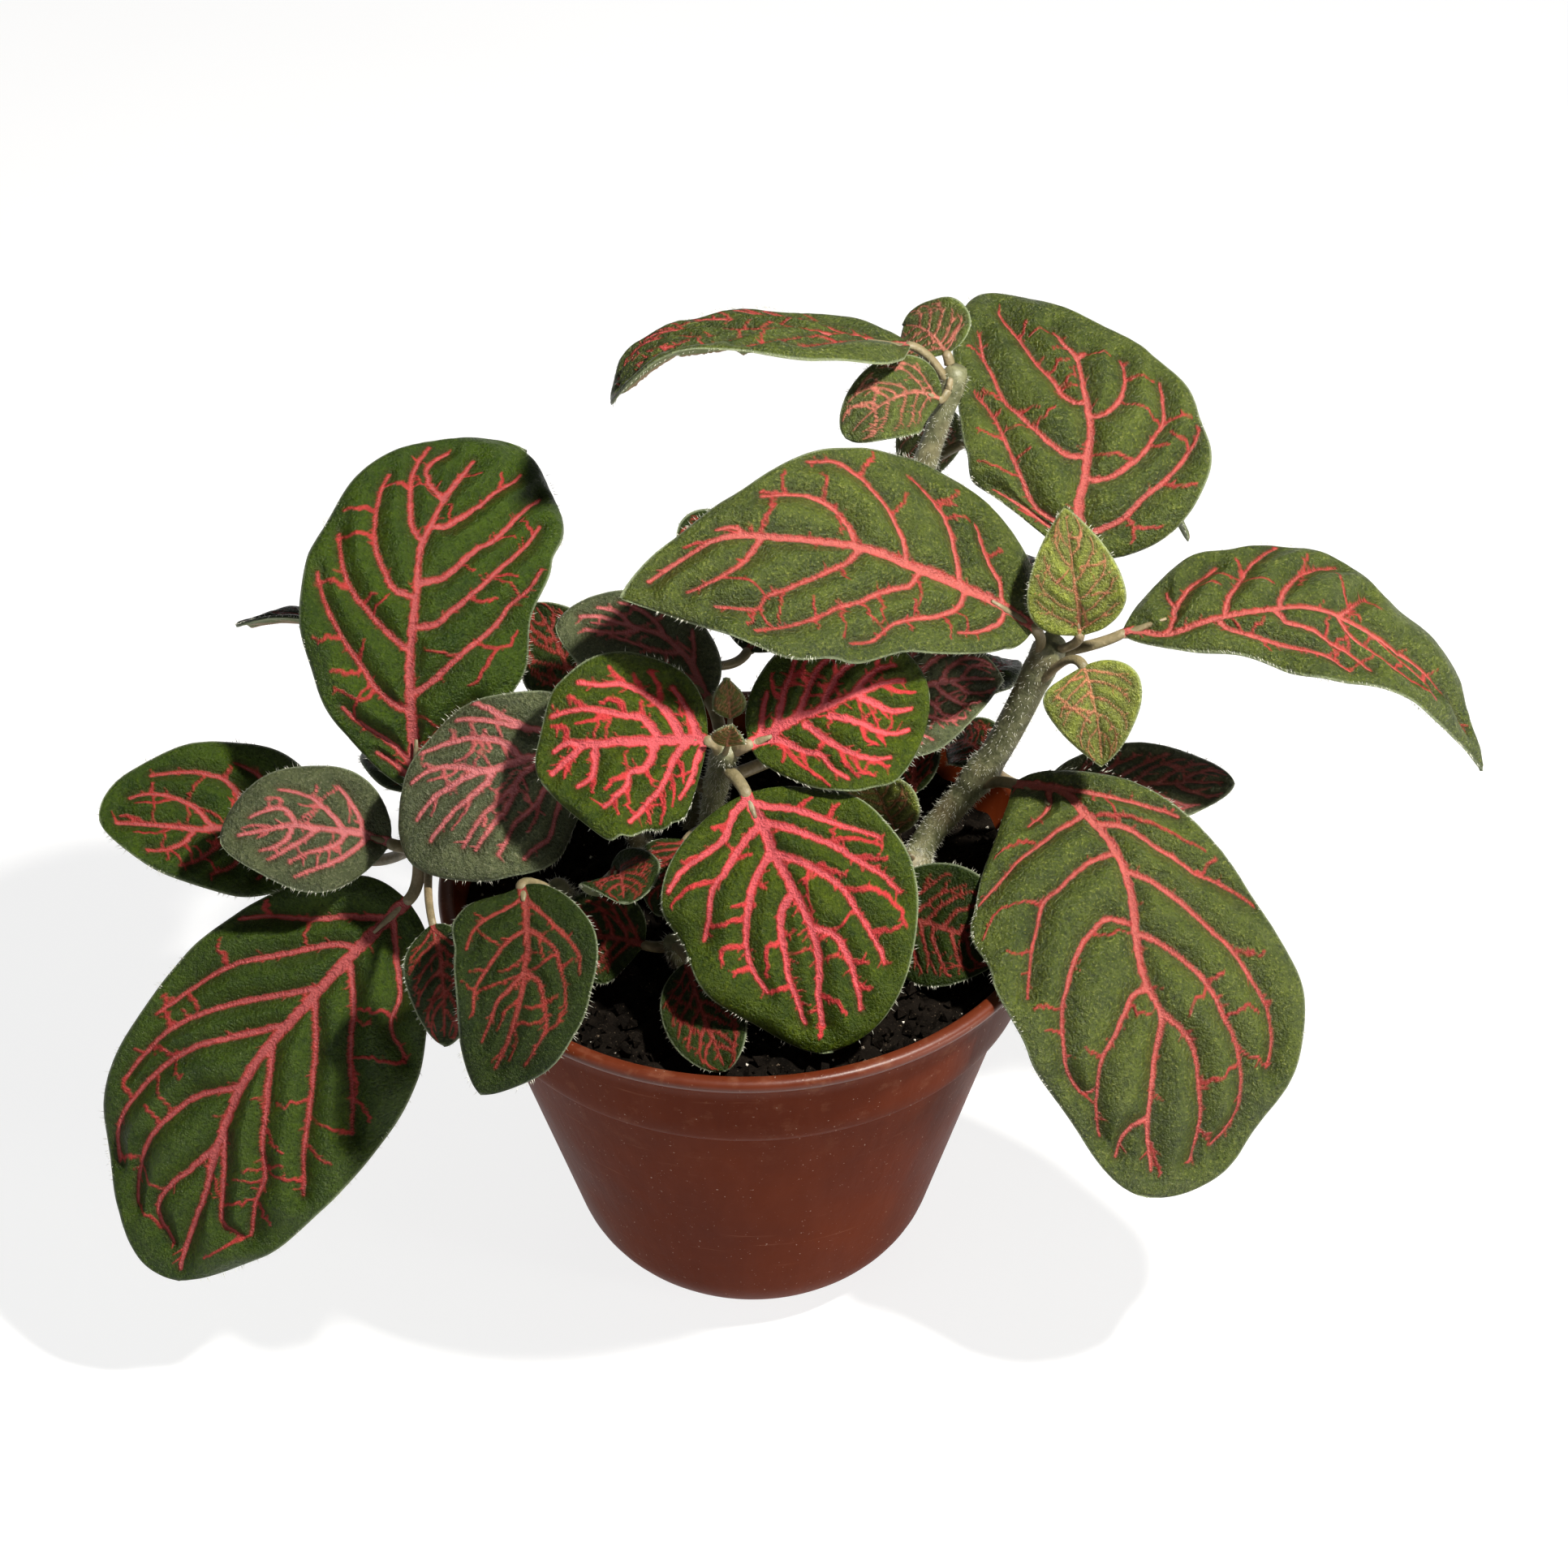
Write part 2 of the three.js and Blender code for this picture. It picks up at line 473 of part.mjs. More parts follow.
// The triangles of a closed sheet: its two faces, split alike, and the edge between them.
function sheetIndex(rows, columns) {
  const at = (face, i, j) => (face * rows + i) * (columns + 1) + j;
  const index = [];
  const square = (a, b, c, d) => index.push(a, b, c, a, c, d);
  for (let i = 0; i < rows - 1; i++) {
    for (let j = 0; j < columns; j++) {
      square(at(0, i, j), at(0, i, j + 1), at(0, i + 1, j + 1), at(0, i + 1, j));
      square(at(1, i, j), at(1, i + 1, j), at(1, i + 1, j + 1), at(1, i, j + 1));
    }
    square(at(0, i, 0), at(0, i + 1, 0), at(1, i + 1, 0), at(1, i, 0));
    square(at(0, i, columns), at(1, i, columns), at(1, i + 1, columns), at(0, i + 1, columns));
  }
  const last = rows - 1;
  for (let j = 0; j < columns; j++) {
    square(at(0, 0, j), at(1, 0, j), at(1, 0, j + 1), at(0, 0, j + 1));
    square(at(0, last, j), at(0, last, j + 1), at(1, last, j + 1), at(1, last, j));
  }
  return index;
}

// A blade with its petiole, as one closed body. phase sets where its margin's waves lie.
function makeLeaf(name, { stem, at, midrib, width, outline, faces, fold, margins = [EVEN, EVEN] }, phase) {
  const rib = new THREE.CubicBezierCurve3(...midrib.map(vector));
  const [faceBase, faceTip] = faces.map(vector);
  const [rise, bend] = fold.map(THREE.MathUtils.degToRad);
  const petiole = petioleStations(STEMS[stem], at, rib, width);
  const stations = [...petiole, ...bladeStations(rib, width, OUTLINES[outline])];
  const columns = width > LARGE_WIDTH ? LARGE_GRID[1] : SMALL_GRID[1];

  const positions = [];
  for (const side of [0.5, -0.5]) {
    for (const { point, tangent, s, half, thick, bent } of stations) {
      const facing = faceBase.clone().lerp(faceTip, s);
      const up = facing.addScaledVector(tangent, -facing.dot(tangent)).normalize();
      const right = tangent.clone().cross(up);
      for (let j = 0; j <= columns; j++) {
        const t = (2 * j) / columns - 1;
        const turn = bend * Math.abs(t);
        const slope = bent * (rise + turn / 2);
        const lean = t ? bent * (rise + turn) : 0;
        const chord = half * (bent ? sideShare(margins[t > 0 ? 0 : 1], s) : 1) * Math.abs(t);
        const wave = half * MARGIN_WAVE * t * t * Math.sin(2 * Math.PI * MARGIN_WAVES * s + phase + t);
        const outward = right.clone().multiplyScalar(Math.sign(t));
        const normal = up.clone().multiplyScalar(Math.cos(lean)).addScaledVector(outward, -Math.sin(lean));
        const place = point.clone()
          .addScaledVector(outward, chord * Math.cos(slope))
          .addScaledVector(up, chord * Math.sin(slope) + bent * wave)
          .addScaledVector(normal, side * thick);
        positions.push(...place.toArray());
      }
    }
  }
  const geometry = new THREE.BufferGeometry()
    .setAttribute("position", new THREE.Float32BufferAttribute(positions, 3))
    .setIndex(sheetIndex(stations.length, columns));
  addMesh("leaf_" + name, geometry, "leaf");
}

makePot();
makeSoil();
for (const [name, stem] of Object.entries(STEMS)) addMesh("stem_" + name, stemTube(stem), "stem");
Object.entries(LEAVES).forEach(([name, leaf], i) => makeLeaf(name, leaf, i * WAVE_STEP));

export default group;
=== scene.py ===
"""Looks of a red-veined nerve plant in a terracotta plastic nursery pot.

Sizes are in millimetres until a mesh is made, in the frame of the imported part: the origin is at the centre of
the pot's underside, +Z is up, and the front is towards -Y."""

import math

import bpy
import numpy as np
from mathutils import Matrix, Vector


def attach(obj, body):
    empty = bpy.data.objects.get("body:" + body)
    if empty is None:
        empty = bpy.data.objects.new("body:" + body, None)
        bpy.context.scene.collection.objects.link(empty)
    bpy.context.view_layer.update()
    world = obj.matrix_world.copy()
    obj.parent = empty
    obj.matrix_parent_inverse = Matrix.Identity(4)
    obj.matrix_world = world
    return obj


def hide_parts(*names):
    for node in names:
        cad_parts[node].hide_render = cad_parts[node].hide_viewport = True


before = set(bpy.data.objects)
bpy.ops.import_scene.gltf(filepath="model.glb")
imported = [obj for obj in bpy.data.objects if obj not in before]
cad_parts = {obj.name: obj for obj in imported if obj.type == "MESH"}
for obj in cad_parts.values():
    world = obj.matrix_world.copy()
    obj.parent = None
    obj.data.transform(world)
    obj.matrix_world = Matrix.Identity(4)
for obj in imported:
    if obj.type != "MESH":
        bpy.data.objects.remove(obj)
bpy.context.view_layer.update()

MM = 0.001
SEED = 11
LEAF_SEED = 100

# Camera: the photograph's square frame, from a little above the plant's front. Angles are in degrees, but
# for the roll, which is in radians.
CAMERA_TARGET = (4.9, 0, 79.5)
CAMERA_ELEVATION = 38
CAMERA_DISTANCE = 480
CAMERA_ROLL = -0.01
CAMERA_LENS = 82.2
CAMERA_NEAR = 10
SENSOR = 36

# Studio: a floor that nearly glows white, and soft lights with their place, size, watts and colour.
FLOOR_HALF = 9000
FLOOR_GLOW = 0.82
WORLD_STRENGTH = 0.1
LIGHTS = {
    "key": ((180, -110, 430), 26, 4.4, (1.0, 0.965, 0.90)),
    "fill": ((-380, -320, 260), 360, 0.34, (0.93, 0.97, 1.0)),
    "rim": ((120, 420, 330), 260, 0.12, (1, 1, 1)),
    "side": ((420, -200, 90), 90, 0.95, (1.0, 0.93, 0.84)),
}

# Pot. FOOT_ROUND is how high the foot's round goes, and FOOT_TUCK how far it draws in.
RIM_RADIUS = 42.5
POT_HEIGHT = 64
LIP_HEIGHT = 1.8
BAND_TOP_RADIUS = 41.6
BAND_HEIGHT = 14
BAND_FOOT_RADIUS = 38.6
BAND_FOOT = POT_HEIGHT - BAND_HEIGHT
BAND_SLOPE = (BAND_TOP_RADIUS - BAND_FOOT_RADIUS) / BAND_HEIGHT
BODY_TOP_RADIUS = 37
BODY_FOOT_RADIUS = 23
FOOT_ROUND = 10
FOOT_TUCK = 9
FOOT_STEPS = 12
POT_WALL = 1.3
FLOOR_THICKNESS = 1.6
POT_SIDES = 224
DRAIN_HOLES = 6
DRAIN_RADIUS = 2
DRAIN_CIRCLE = 9
DRILL_LEVELS = (-3.0, 1.0, 5.0)
DRILL_SIDES = 32

# Soil. CRUMBS and GRITS are a count, the least size and the greatest.
SOIL_LEVEL = 58.5
SOIL_LUMP = 0.9
SOIL_FOOT = 2.2
SOIL_GAP = 0.6
SOIL_SIDES = 300
SOIL_RINGS = 110
SOIL_CENTRE = 0.4
CRUMBS = (1500, 0.35, 1.5)
GRITS = (260, 0.12, 0.38)

# Stems: foot in the soil, two bends, the top, and the radius. A stem swells where a leaf sits.
STEM_DEPTH = 7
STEMS = {
    "right": [(22, 3, 58.5), (24, 8, 62), (33, 9, 76), (41, 8, 97), 2],
    "back": [(15, 15, 58.5), (18, 20, 84), (22, 26, 104), (28.5, 30, 126), 1.5],
    "rosette": [(-3, 3, 58.5), (-5, -1, 72), (-4, -5, 84), (-2.5, -8.5, 92.5), 1.5],
    "left": [(-12, 4, 58.5), (-20, 4, 74), (-34, 0, 76), (-45, -3, 71), 1.6],
    "rear": [(-8, 17, 58.5), (-9, 20, 74), (-8, 22, 86), (-5, 23, 98), 1.4],
    "front_left": [(-18, -6, 58.5), (-22, -9, 65), (-24, -13, 71), (-25, -17, 76), 1.3],
    "front": [(-9, -13, 58.5), (-9.5, -14.5, 61), (-10, -16, 64), (-10, -17.5, 67), 1.1],
}
STEM_STEPS = 90
STEM_SIDES = 28
NODE_SWELL = 0.12
NODE_SWELL_MOST = 0.2
NODE_REACH = 1.6
STEM_TIP = (0.98, 0.9, 0.7)

# Hairs: how many to a square millimetre of length times radius on a stem, and to a millimetre of a blade's
# length.
STEM_HAIRS = 20
STEM_HAIR_RADIUS = 0.035
STEM_HAIR_SINK = 0.05
STEM_HAIR_LENGTH = (0.3, 1.0)
MARGIN_HAIRS = 4.4
MARGIN_HAIR_RADIUS = 0.045
MARGIN_HAIR_LENGTH = (0.35, 0.95)

# Blade outlines: where the blade is widest (0 at its base, 1 at its tip), and how it narrows to its base
# and to its tip (0.5 is round, and more is sharper).
OUTLINES = {
    "oval": (0.45, 0.56, 0.6),
    "round": (0.46, 0.5, 0.5),
    "sharp": (0.37, 0.54, 0.86),
    "low": (0.54, 0.62, 0.5),
    "heavy": (0.62, 0.75, 0.5),
    "pointed": (0.35, 0.5, 1.2),
    "long": (0.5, 0.7, 0.95),
}
FOLD_START = 0.06
MARGIN_WAVE = 0.05
MARGIN_WAVES = 1.8
WAVE_STEP = 2.4
BLADE_TIP_WIDTH = 1
BLADE_TIP_LENGTH = 0.02
BLADE_THICKNESS = 0.5
PETIOLE_SHARE = 0.12
PETIOLE_LEAST = 0.8
PETIOLE_MOST = 1.8
PETIOLE_THICKNESS = 1.3
PETIOLE_SINK = 0.3
PETIOLE_SIDES = 14
PETIOLE_STEPS = 14
PETIOLE_TAPER = (0.525, 0.441)
PETIOLE_END = (0.01, 0.12)
PETIOLE_END_STEPS = 5
PETIOLE_END_TAPER = (0.399, 0.126)
PETIOLE_END_DEPTH = 0.5

# Relief of a blade. RIPPLES and GRAIN are noises with a height and a spacing. RUFFLE is how far the margins
# rise and fall, and RUFFLE_SIDES how far apart the two margins are in that noise, so that each goes its own
# way. The tissue has swelled for the most part at QUILT_REACH from a vein, and QUILT_LEVEL of the swelling
# lies below the blade's even surface. The relief fades out over RELIEF_MARGIN from the margin and over
# RELIEF_ENDS of the length at both ends. ROWS and COLUMNS are the least and the most points along and across.
RIPPLES = ((0.5, 6.5), (0.14, 2.6))
RUFFLE = 0.9
RUFFLE_SPACING = 5.5
RUFFLE_SIDES = 25.0
RUFFLE_START = 0.15
RUFFLE_WIDTH = 30
GRAIN = (0.035, 0.9)
TONE_SPACING = 7.0
QUILT_REACH = 1.9
QUILT_RISE = 1.6
QUILT_LEVEL = 0.6
RELIEF_MARGIN = 3
RELIEF_ENDS = 0.08
VEIN_GROOVE = 0.1
RIB_RIDGE = 0.35
RIM_ROUND = 0.5
RIM_LEAST = 0.15
ROWS = (24, 230)
COLUMNS = (12, 150)

# A blade's margins are given at five places: the first of them, the step between them, the length over
# which they start at the base, and the shares of an even blade.
FIRST_SHARE = 0.1
SHARE_STEP = 0.2
SHARE_START = 0.05
EVEN = (1, 1, 1, 1, 1)

# Leaves. Each one's midrib is a curve from the blade's base to its tip. at is how far up its stem it
# sits, from 0 to 1. faces is the way the blade looks at its base and at its tip. fold is the rise of the
# two halves from the midrib, and their bend from there to the margin, in degrees. margins, where a blade
# is uneven, is how far its right side and its left side reach, as shares of the outline at five places
# from base to tip.
LEAVES = {
    "left_upright": dict(
        stem="left", at=0.98, midrib=[(-44.5, 0, 79), (-43.5, 3, 100), (-42, 18, 112), (-30, 38, 108)],
        width=34, outline="low", faces=[(0, -8, 3), (1, -4, 9)], fold=(8, -22),
        margins=[(0.95, 0.94, 0.79, 0.86, 1.05), (1.03, 1.07, 1.02, 0.98, 0.9)],
    ),
    "left_far": dict(
        stem="left", at=1, midrib=[(-56, 6, 63.5), (-66, 7, 69.5), (-78, 5, 73.5), (-88, 2, 72.5)],
        width=22, outline="oval", faces=[(0, -5, 8), (0, -5, 8)], fold=(8, -20),
    ),
    "left_small": dict(
        stem="left", at=1, midrib=[(-48, -5, 74), (-54, -5.5, 78), (-62, -7, 80), (-70, -8, 77)],
        width=18, outline="oval", faces=[(0, -6, 8), (-2, -6, 8)], fold=(6, -25),
    ),
    "left_front": dict(
        stem="left", at=1, midrib=[(-46, -7.5, 66), (-58, -15.5, 59), (-77.5, -28, 42), (-78, -35, 22)],
        width=39, outline="round", faces=[(-2, -8, 6), (-2, -8, 4)], fold=(4, -16),
        margins=[(0.88, 0.87, 0.91, 1, 0.87), (0.9, 1, 1, 1.02, 1.08)],
    ),
    "left_hidden": dict(
        stem="left", at=0.93, midrib=[(-41, -22, 74), (-40, -26, 73), (-39, -29, 67), (-40, -30, 60)],
        width=10, outline="oval", faces=[(0, -9, 4), (0, -9, 2)], fold=(4, -10),
    ),
    "left_rear": dict(
        stem="left", at=0.75, midrib=[(-50, 25, 86), (-55, 25, 90), (-62, 24, 93.5), (-70, 22, 91)],
        width=16, outline="oval", faces=[(0, 5, 8), (0, 5, 8)], fold=(4, -10),
    ),
    "left_back": dict(
        stem="left", at=0.7, midrib=[(-37, 11, 70), (-42, 18, 72), (-48, 26, 71), (-52, 33, 64)],
        width=20, outline="oval", faces=[(-2, 2, 9), (-5, 6, 7)], fold=(5, -18),
    ),
    "inner_left": dict(
        stem="rosette", at=0.62, midrib=[(-19, -5, 88), (-28, -6.5, 91), (-38, -10, 86), (-44, -14, 77.5)],
        width=26, outline="round", faces=[(0, -8, 7), (-5, -8, 5)], fold=(8, -25),
        margins=[(0.9, 0.82, 0.87, 0.82, 0.75), (1, 1, 1, 1, 1.1)],
    ),
    "rosette_left": dict(
        stem="rosette", at=0.98, midrib=[(-5, -10, 94.5), (-11, -10.5, 96), (-20, -13, 96), (-26, -16, 92)],
        width=26, outline="round", faces=[(0, -7, 8), (-2, -8, 7)], fold=(8, -20),
        margins=[(1, 0.97, 0.95, 0.92, 0.7), (1.15, 0.93, 0.87, 0.97, 1.3)],
    ),
    "rosette_right": dict(
        stem="rosette", at=0.98, midrib=[(0.5, -9.5, 93.5), (8, -9, 97), (18, -7, 99), (24, -4, 97)],
        width=23, outline="round", faces=[(0, -7, 8), (2, -8, 7)], fold=(8, -20),
        margins=[(0.8, 0.86, 0.91, 1, 1), (1, 1, 1, 1, 1)],
    ),
    "rosette_front": dict(
        stem="rosette", at=0.86, midrib=[(0, -13, 88), (3, -21, 85), (8, -30, 74), (11, -34, 62)],
        width=33, outline="round", faces=[(0, -7, 8), (0, -9, 3)], fold=(6, -18),
        margins=[(0.97, 1, 0.9, 0.92, 0.8), (1, 1, 1.03, 1, 1)],
    ),
    "rosette_back": dict(
        stem="rosette", at=0.88, midrib=[(-5, 1, 93), (-9, 4, 98), (-17, 6, 101), (-25, 7, 101)],
        width=16, outline="oval", faces=[(0, -5, 8), (0, -5, 8)], fold=(6, -16),
    ),
    "rosette_under_right": dict(
        stem="rosette", at=0.66, midrib=[(12, 4, 86), (20, 7, 90), (28, 11, 90), (35, 14, 86)],
        width=18, outline="sharp", faces=[(0, -7, 8), (0, -7, 8)], fold=(4, -16),
    ),
    "core_left": dict(
        stem="rosette", at=0.42,
        midrib=[(-8.2, -10, 78), (-8.9, -13, 78.7), (-10.5, -16, 75.9), (-11.8, -17, 70.8)],
        width=10.5, outline="oval", faces=[(-2, -8, 4), (-2, -8, 3)], fold=(5, -15),
    ),
    "rosette_bud_near": dict(
        stem="rosette", at=1,
        midrib=[(-2.4, -11, 94.5), (-2.4, -12, 96), (-2, -12.5, 97.5), (-1.5, -12.5, 99)],
        width=4.5, outline="sharp", faces=[(0, -9, 4), (0, -9, 4)], fold=(10, -20),
    ),
    "rosette_bud_far": dict(
        stem="rosette", at=1, midrib=[(-2, -6.5, 95.5), (-2, -6, 97), (-2.4, -5.5, 99), (-2.4, -5, 101)],
        width=4.5, outline="sharp", faces=[(0, -9, 4), (0, -9, 4)], fold=(10, -20),
    ),
    "right_inward": dict(
        stem="right", at=0.98, midrib=[(38, 6, 100.5), (24, 5, 115), (1, -1, 123.5), (-15.5, -6, 114.2)],
        width=31, outline="sharp", faces=[(0, -5, 9), (0, -5, 8)], fold=(6, -18),
        margins=[(1, 1.05, 0.97, 0.77, 0.65), (0.76, 0.78, 1.02, 1.27, 1.35)],
    ),
    "right_upright": dict(
        stem="right", at=0.98, midrib=[(44.5, 14, 106), (48, 17, 117), (47, 31, 122), (32.7, 51, 124.8)],
        width=33.5, outline="low", faces=[(0, -8, 4), (0, 2, 9)], fold=(8, -18),
        margins=[(1.1, 1.05, 0.95, 0.88, 0.72), (1.12, 1.08, 0.97, 0.95, 1)],
    ),
    "right_outward": dict(
        stem="right", at=0.98, midrib=[(50, 8, 98), (64, 8, 107), (90, 7, 107), (99, 2, 79)],
        width=26, outline="long", faces=[(0, -1, 9), (7, -2, 4)], fold=(4, -22),
        margins=[(0.93, 0.76, 0.9, 0.83, 1), (1.25, 1.03, 0.97, 0.68, 0.75)],
    ),
    "right_bud_upper": dict(
        stem="right", at=1, midrib=[(44, 5, 100), (43.5, 4, 105), (42.5, 5, 112), (41.6, 9, 117.6)],
        width=13, outline="sharp", faces=[(0, -9, 2), (0, -9, 5)], fold=(14, -20),
    ),
    "right_bud_lower": dict(
        stem="right", at=0.92, midrib=[(44.3, 0.6, 98), (45, -1.5, 97.5), (46.4, -4, 92), (47, -4, 85)],
        width=13, outline="sharp", faces=[(0, -9, 4), (0, -9, 2)], fold=(12, -20),
    ),
    "right_low": dict(
        stem="right", at=0.62, midrib=[(36, 4, 76), (49, -8.5, 80), (58, -29.5, 62), (52.5, -39, 40)],
        width=41, outline="heavy", faces=[(3, -6, 7), (2, -8, 4)], fold=(6, -18),
        margins=[(1.3, 1.24, 1.04, 0.9, 0.78), (0.96, 0.92, 0.95, 1.06, 0.94)],
    ),
    "right_low_rear": dict(
        stem="right", at=0.64, midrib=[(41, 13, 68), (48, 12, 69), (59, 11, 71), (67, 10, 71)],
        width=14, outline="oval", faces=[(0, -3, 9), (0, -3, 9)], fold=(4, -16),
    ),
    "right_pale": dict(
        stem="right", at=0.6, midrib=[(33, 14, 71), (32, 18, 73), (30, 22, 71), (28, 25, 67.5)],
        width=9, outline="oval", faces=[(-3, -3, 8), (-3, -3, 8)], fold=(4, -16),
    ),
    "core_right": dict(
        stem="right", at=0.08, midrib=[(17, -10, 64), (23, -13, 67), (29, -17, 68), (34, -20, 66)],
        width=17, outline="oval", faces=[(0, -7, 7), (0, -7, 7)], fold=(4, -14),
    ),
    "core_young": dict(
        stem="right", at=0.2, midrib=[(20, 1, 70), (19, 0, 75), (17, -1, 80), (15, -2, 83)],
        width=10, outline="oval", faces=[(-3, -8, 4), (-3, -8, 4)], fold=(8, -14),
    ),
    "core_dark": dict(
        stem="back", at=0.12, midrib=[(23, 15, 66), (23, 17, 70), (23, 18.5, 73), (23, 20, 76)],
        width=7.5, outline="oval", faces=[(0, -9, 4), (0, -9, 4)], fold=(4, -10),
    ),
    "top_left": dict(
        stem="back", at=0.97, midrib=[(22, 29, 130), (8, 26, 136), (-16, 22, 141), (-17, 20, 127)],
        width=18.5, outline="oval", faces=[(0, 1, 9.5), (-9, 0, 2)], fold=(4, -14),
        margins=[(1.1, 0.85, 0.8, 0.85, 1.15), (1.6, 1.2, 1.05, 1.05, 1.15)],
    ),
    "top_front": dict(
        stem="back", at=0.98, midrib=[(26, 26, 123.5), (23, 23, 128), (18, 20, 128), (13.5, 18, 122.5)],
        width=11, outline="round", faces=[(0, -7, 7), (-3, -8, 4)], fold=(6, -24),
    ),
    "top_back": dict(
        stem="back", at=1, midrib=[(27, 31, 127.5), (26, 33, 129), (23.5, 36, 129.5), (21.5, 38, 127.5)],
        width=12, outline="round", faces=[(0, -7, 7), (0, -5, 8)], fold=(6, -20),
    ),
    "top_under": dict(
        stem="back", at=0.95, midrib=[(26.5, 34, 117.5), (26, 36, 113), (24.5, 37, 108), (23, 36, 103)],
        width=9, outline="oval", faces=[(0, -9, 3), (0, -9, 2)], fold=(4, -14),
    ),
    "top_right": dict(
        stem="back", at=0.8, midrib=[(37, 37, 110.5), (44, 37, 109), (58, 36, 108), (61, 31, 97)],
        width=14, outline="oval", faces=[(0, 2, 9), (9, 2, 3)], fold=(4, -18),
    ),
    "back_outward": dict(
        stem="back", at=0.5, midrib=[(28, 32, 83), (34, 39, 88), (42, 46, 86), (49, 52, 76)],
        width=24, outline="oval", faces=[(2, 2, 9), (5, 6, 7)], fold=(5, -18),
    ),
    "back_low": dict(
        stem="back", at=0.3, midrib=[(22, 26, 71), (26, 34, 74), (32, 43, 72), (37, 49, 64)],
        width=20, outline="oval", faces=[(1, 3, 9), (4, 7, 6)], fold=(5, -18),
    ),
    "rear_tip": dict(
        stem="rear", at=0.98, midrib=[(-5, 18, 100), (-4.5, 14, 106), (-5.5, 11, 111), (-8.5, 9, 111)],
        width=13, outline="oval", faces=[(0, -7, 7), (0, -7, 7)], fold=(4, -14),
    ),
    "rear_inner": dict(
        stem="rear", at=0.45, midrib=[(-22, 13, 82), (-24, 16, 87), (-27, 20, 92), (-29, 22, 94)],
        width=13, outline="sharp", faces=[(0, -8, 5), (0, -8, 6)], fold=(4, -14),
    ),
    "rear_left": dict(
        stem="rear", at=0.6, midrib=[(-16, 29, 74), (-24, 33, 79), (-33, 38, 78), (-40, 43, 70)],
        width=25, outline="oval", faces=[(-3, 3, 9), (-5, 6, 7)], fold=(5, -18),
    ),
    "rear_right": dict(
        stem="rear", at=0.6, midrib=[(0, 27, 82), (5, 34, 88), (10, 43, 87), (13, 50, 79)],
        width=24, outline="oval", faces=[(1, 3, 9), (2, 8, 7)], fold=(5, -18),
    ),
    "rear_low": dict(
        stem="rear", at=0.25, midrib=[(-13, 26, 68), (-19, 32, 71), (-25, 40, 70), (-29, 46, 63)],
        width=18, outline="oval", faces=[(-1, 3, 9), (-4, 7, 6)], fold=(5, -18),
    ),
    "overhanging": dict(
        stem="front_left", at=0.96,
        midrib=[(-29, -23, 81), (-28, -29, 82), (-30, -37, 73), (-34.5, -40, 60.5)],
        width=19, outline="oval", faces=[(0, -8, 5), (0, -9, 3)], fold=(6, -18),
        margins=[(1, 0.97, 0.82, 0.76, 0.8), (1, 1.1, 1.09, 1.19, 1.3)],
    ),
    "core_far_left": dict(
        stem="front_left", at=0.5, midrib=[(-18, -13, 75), (-17, -16, 79), (-16, -19, 80), (-16, -23, 78)],
        width=11, outline="oval", faces=[(1, -6, 8), (1, -8, 5)], fold=(4, -14),
    ),
    "soil_front": dict(
        stem="front", at=1, midrib=[(-8, -22, 67), (-7, -27, 66), (-4.5, -33, 63), (-3, -36, 60.5)],
        width=11, outline="oval", faces=[(0, -7, 7), (0, -8, 5)], fold=(4, -14),
    ),
    "soil_left": dict(
        stem="front", at=0.8, midrib=[(-14, -17, 66), (-18, -18, 69), (-23, -18, 69), (-27, -18, 67)],
        width=13, outline="sharp", faces=[(0, -8, 6), (0, -8, 6)], fold=(4, -14),
    ),
}

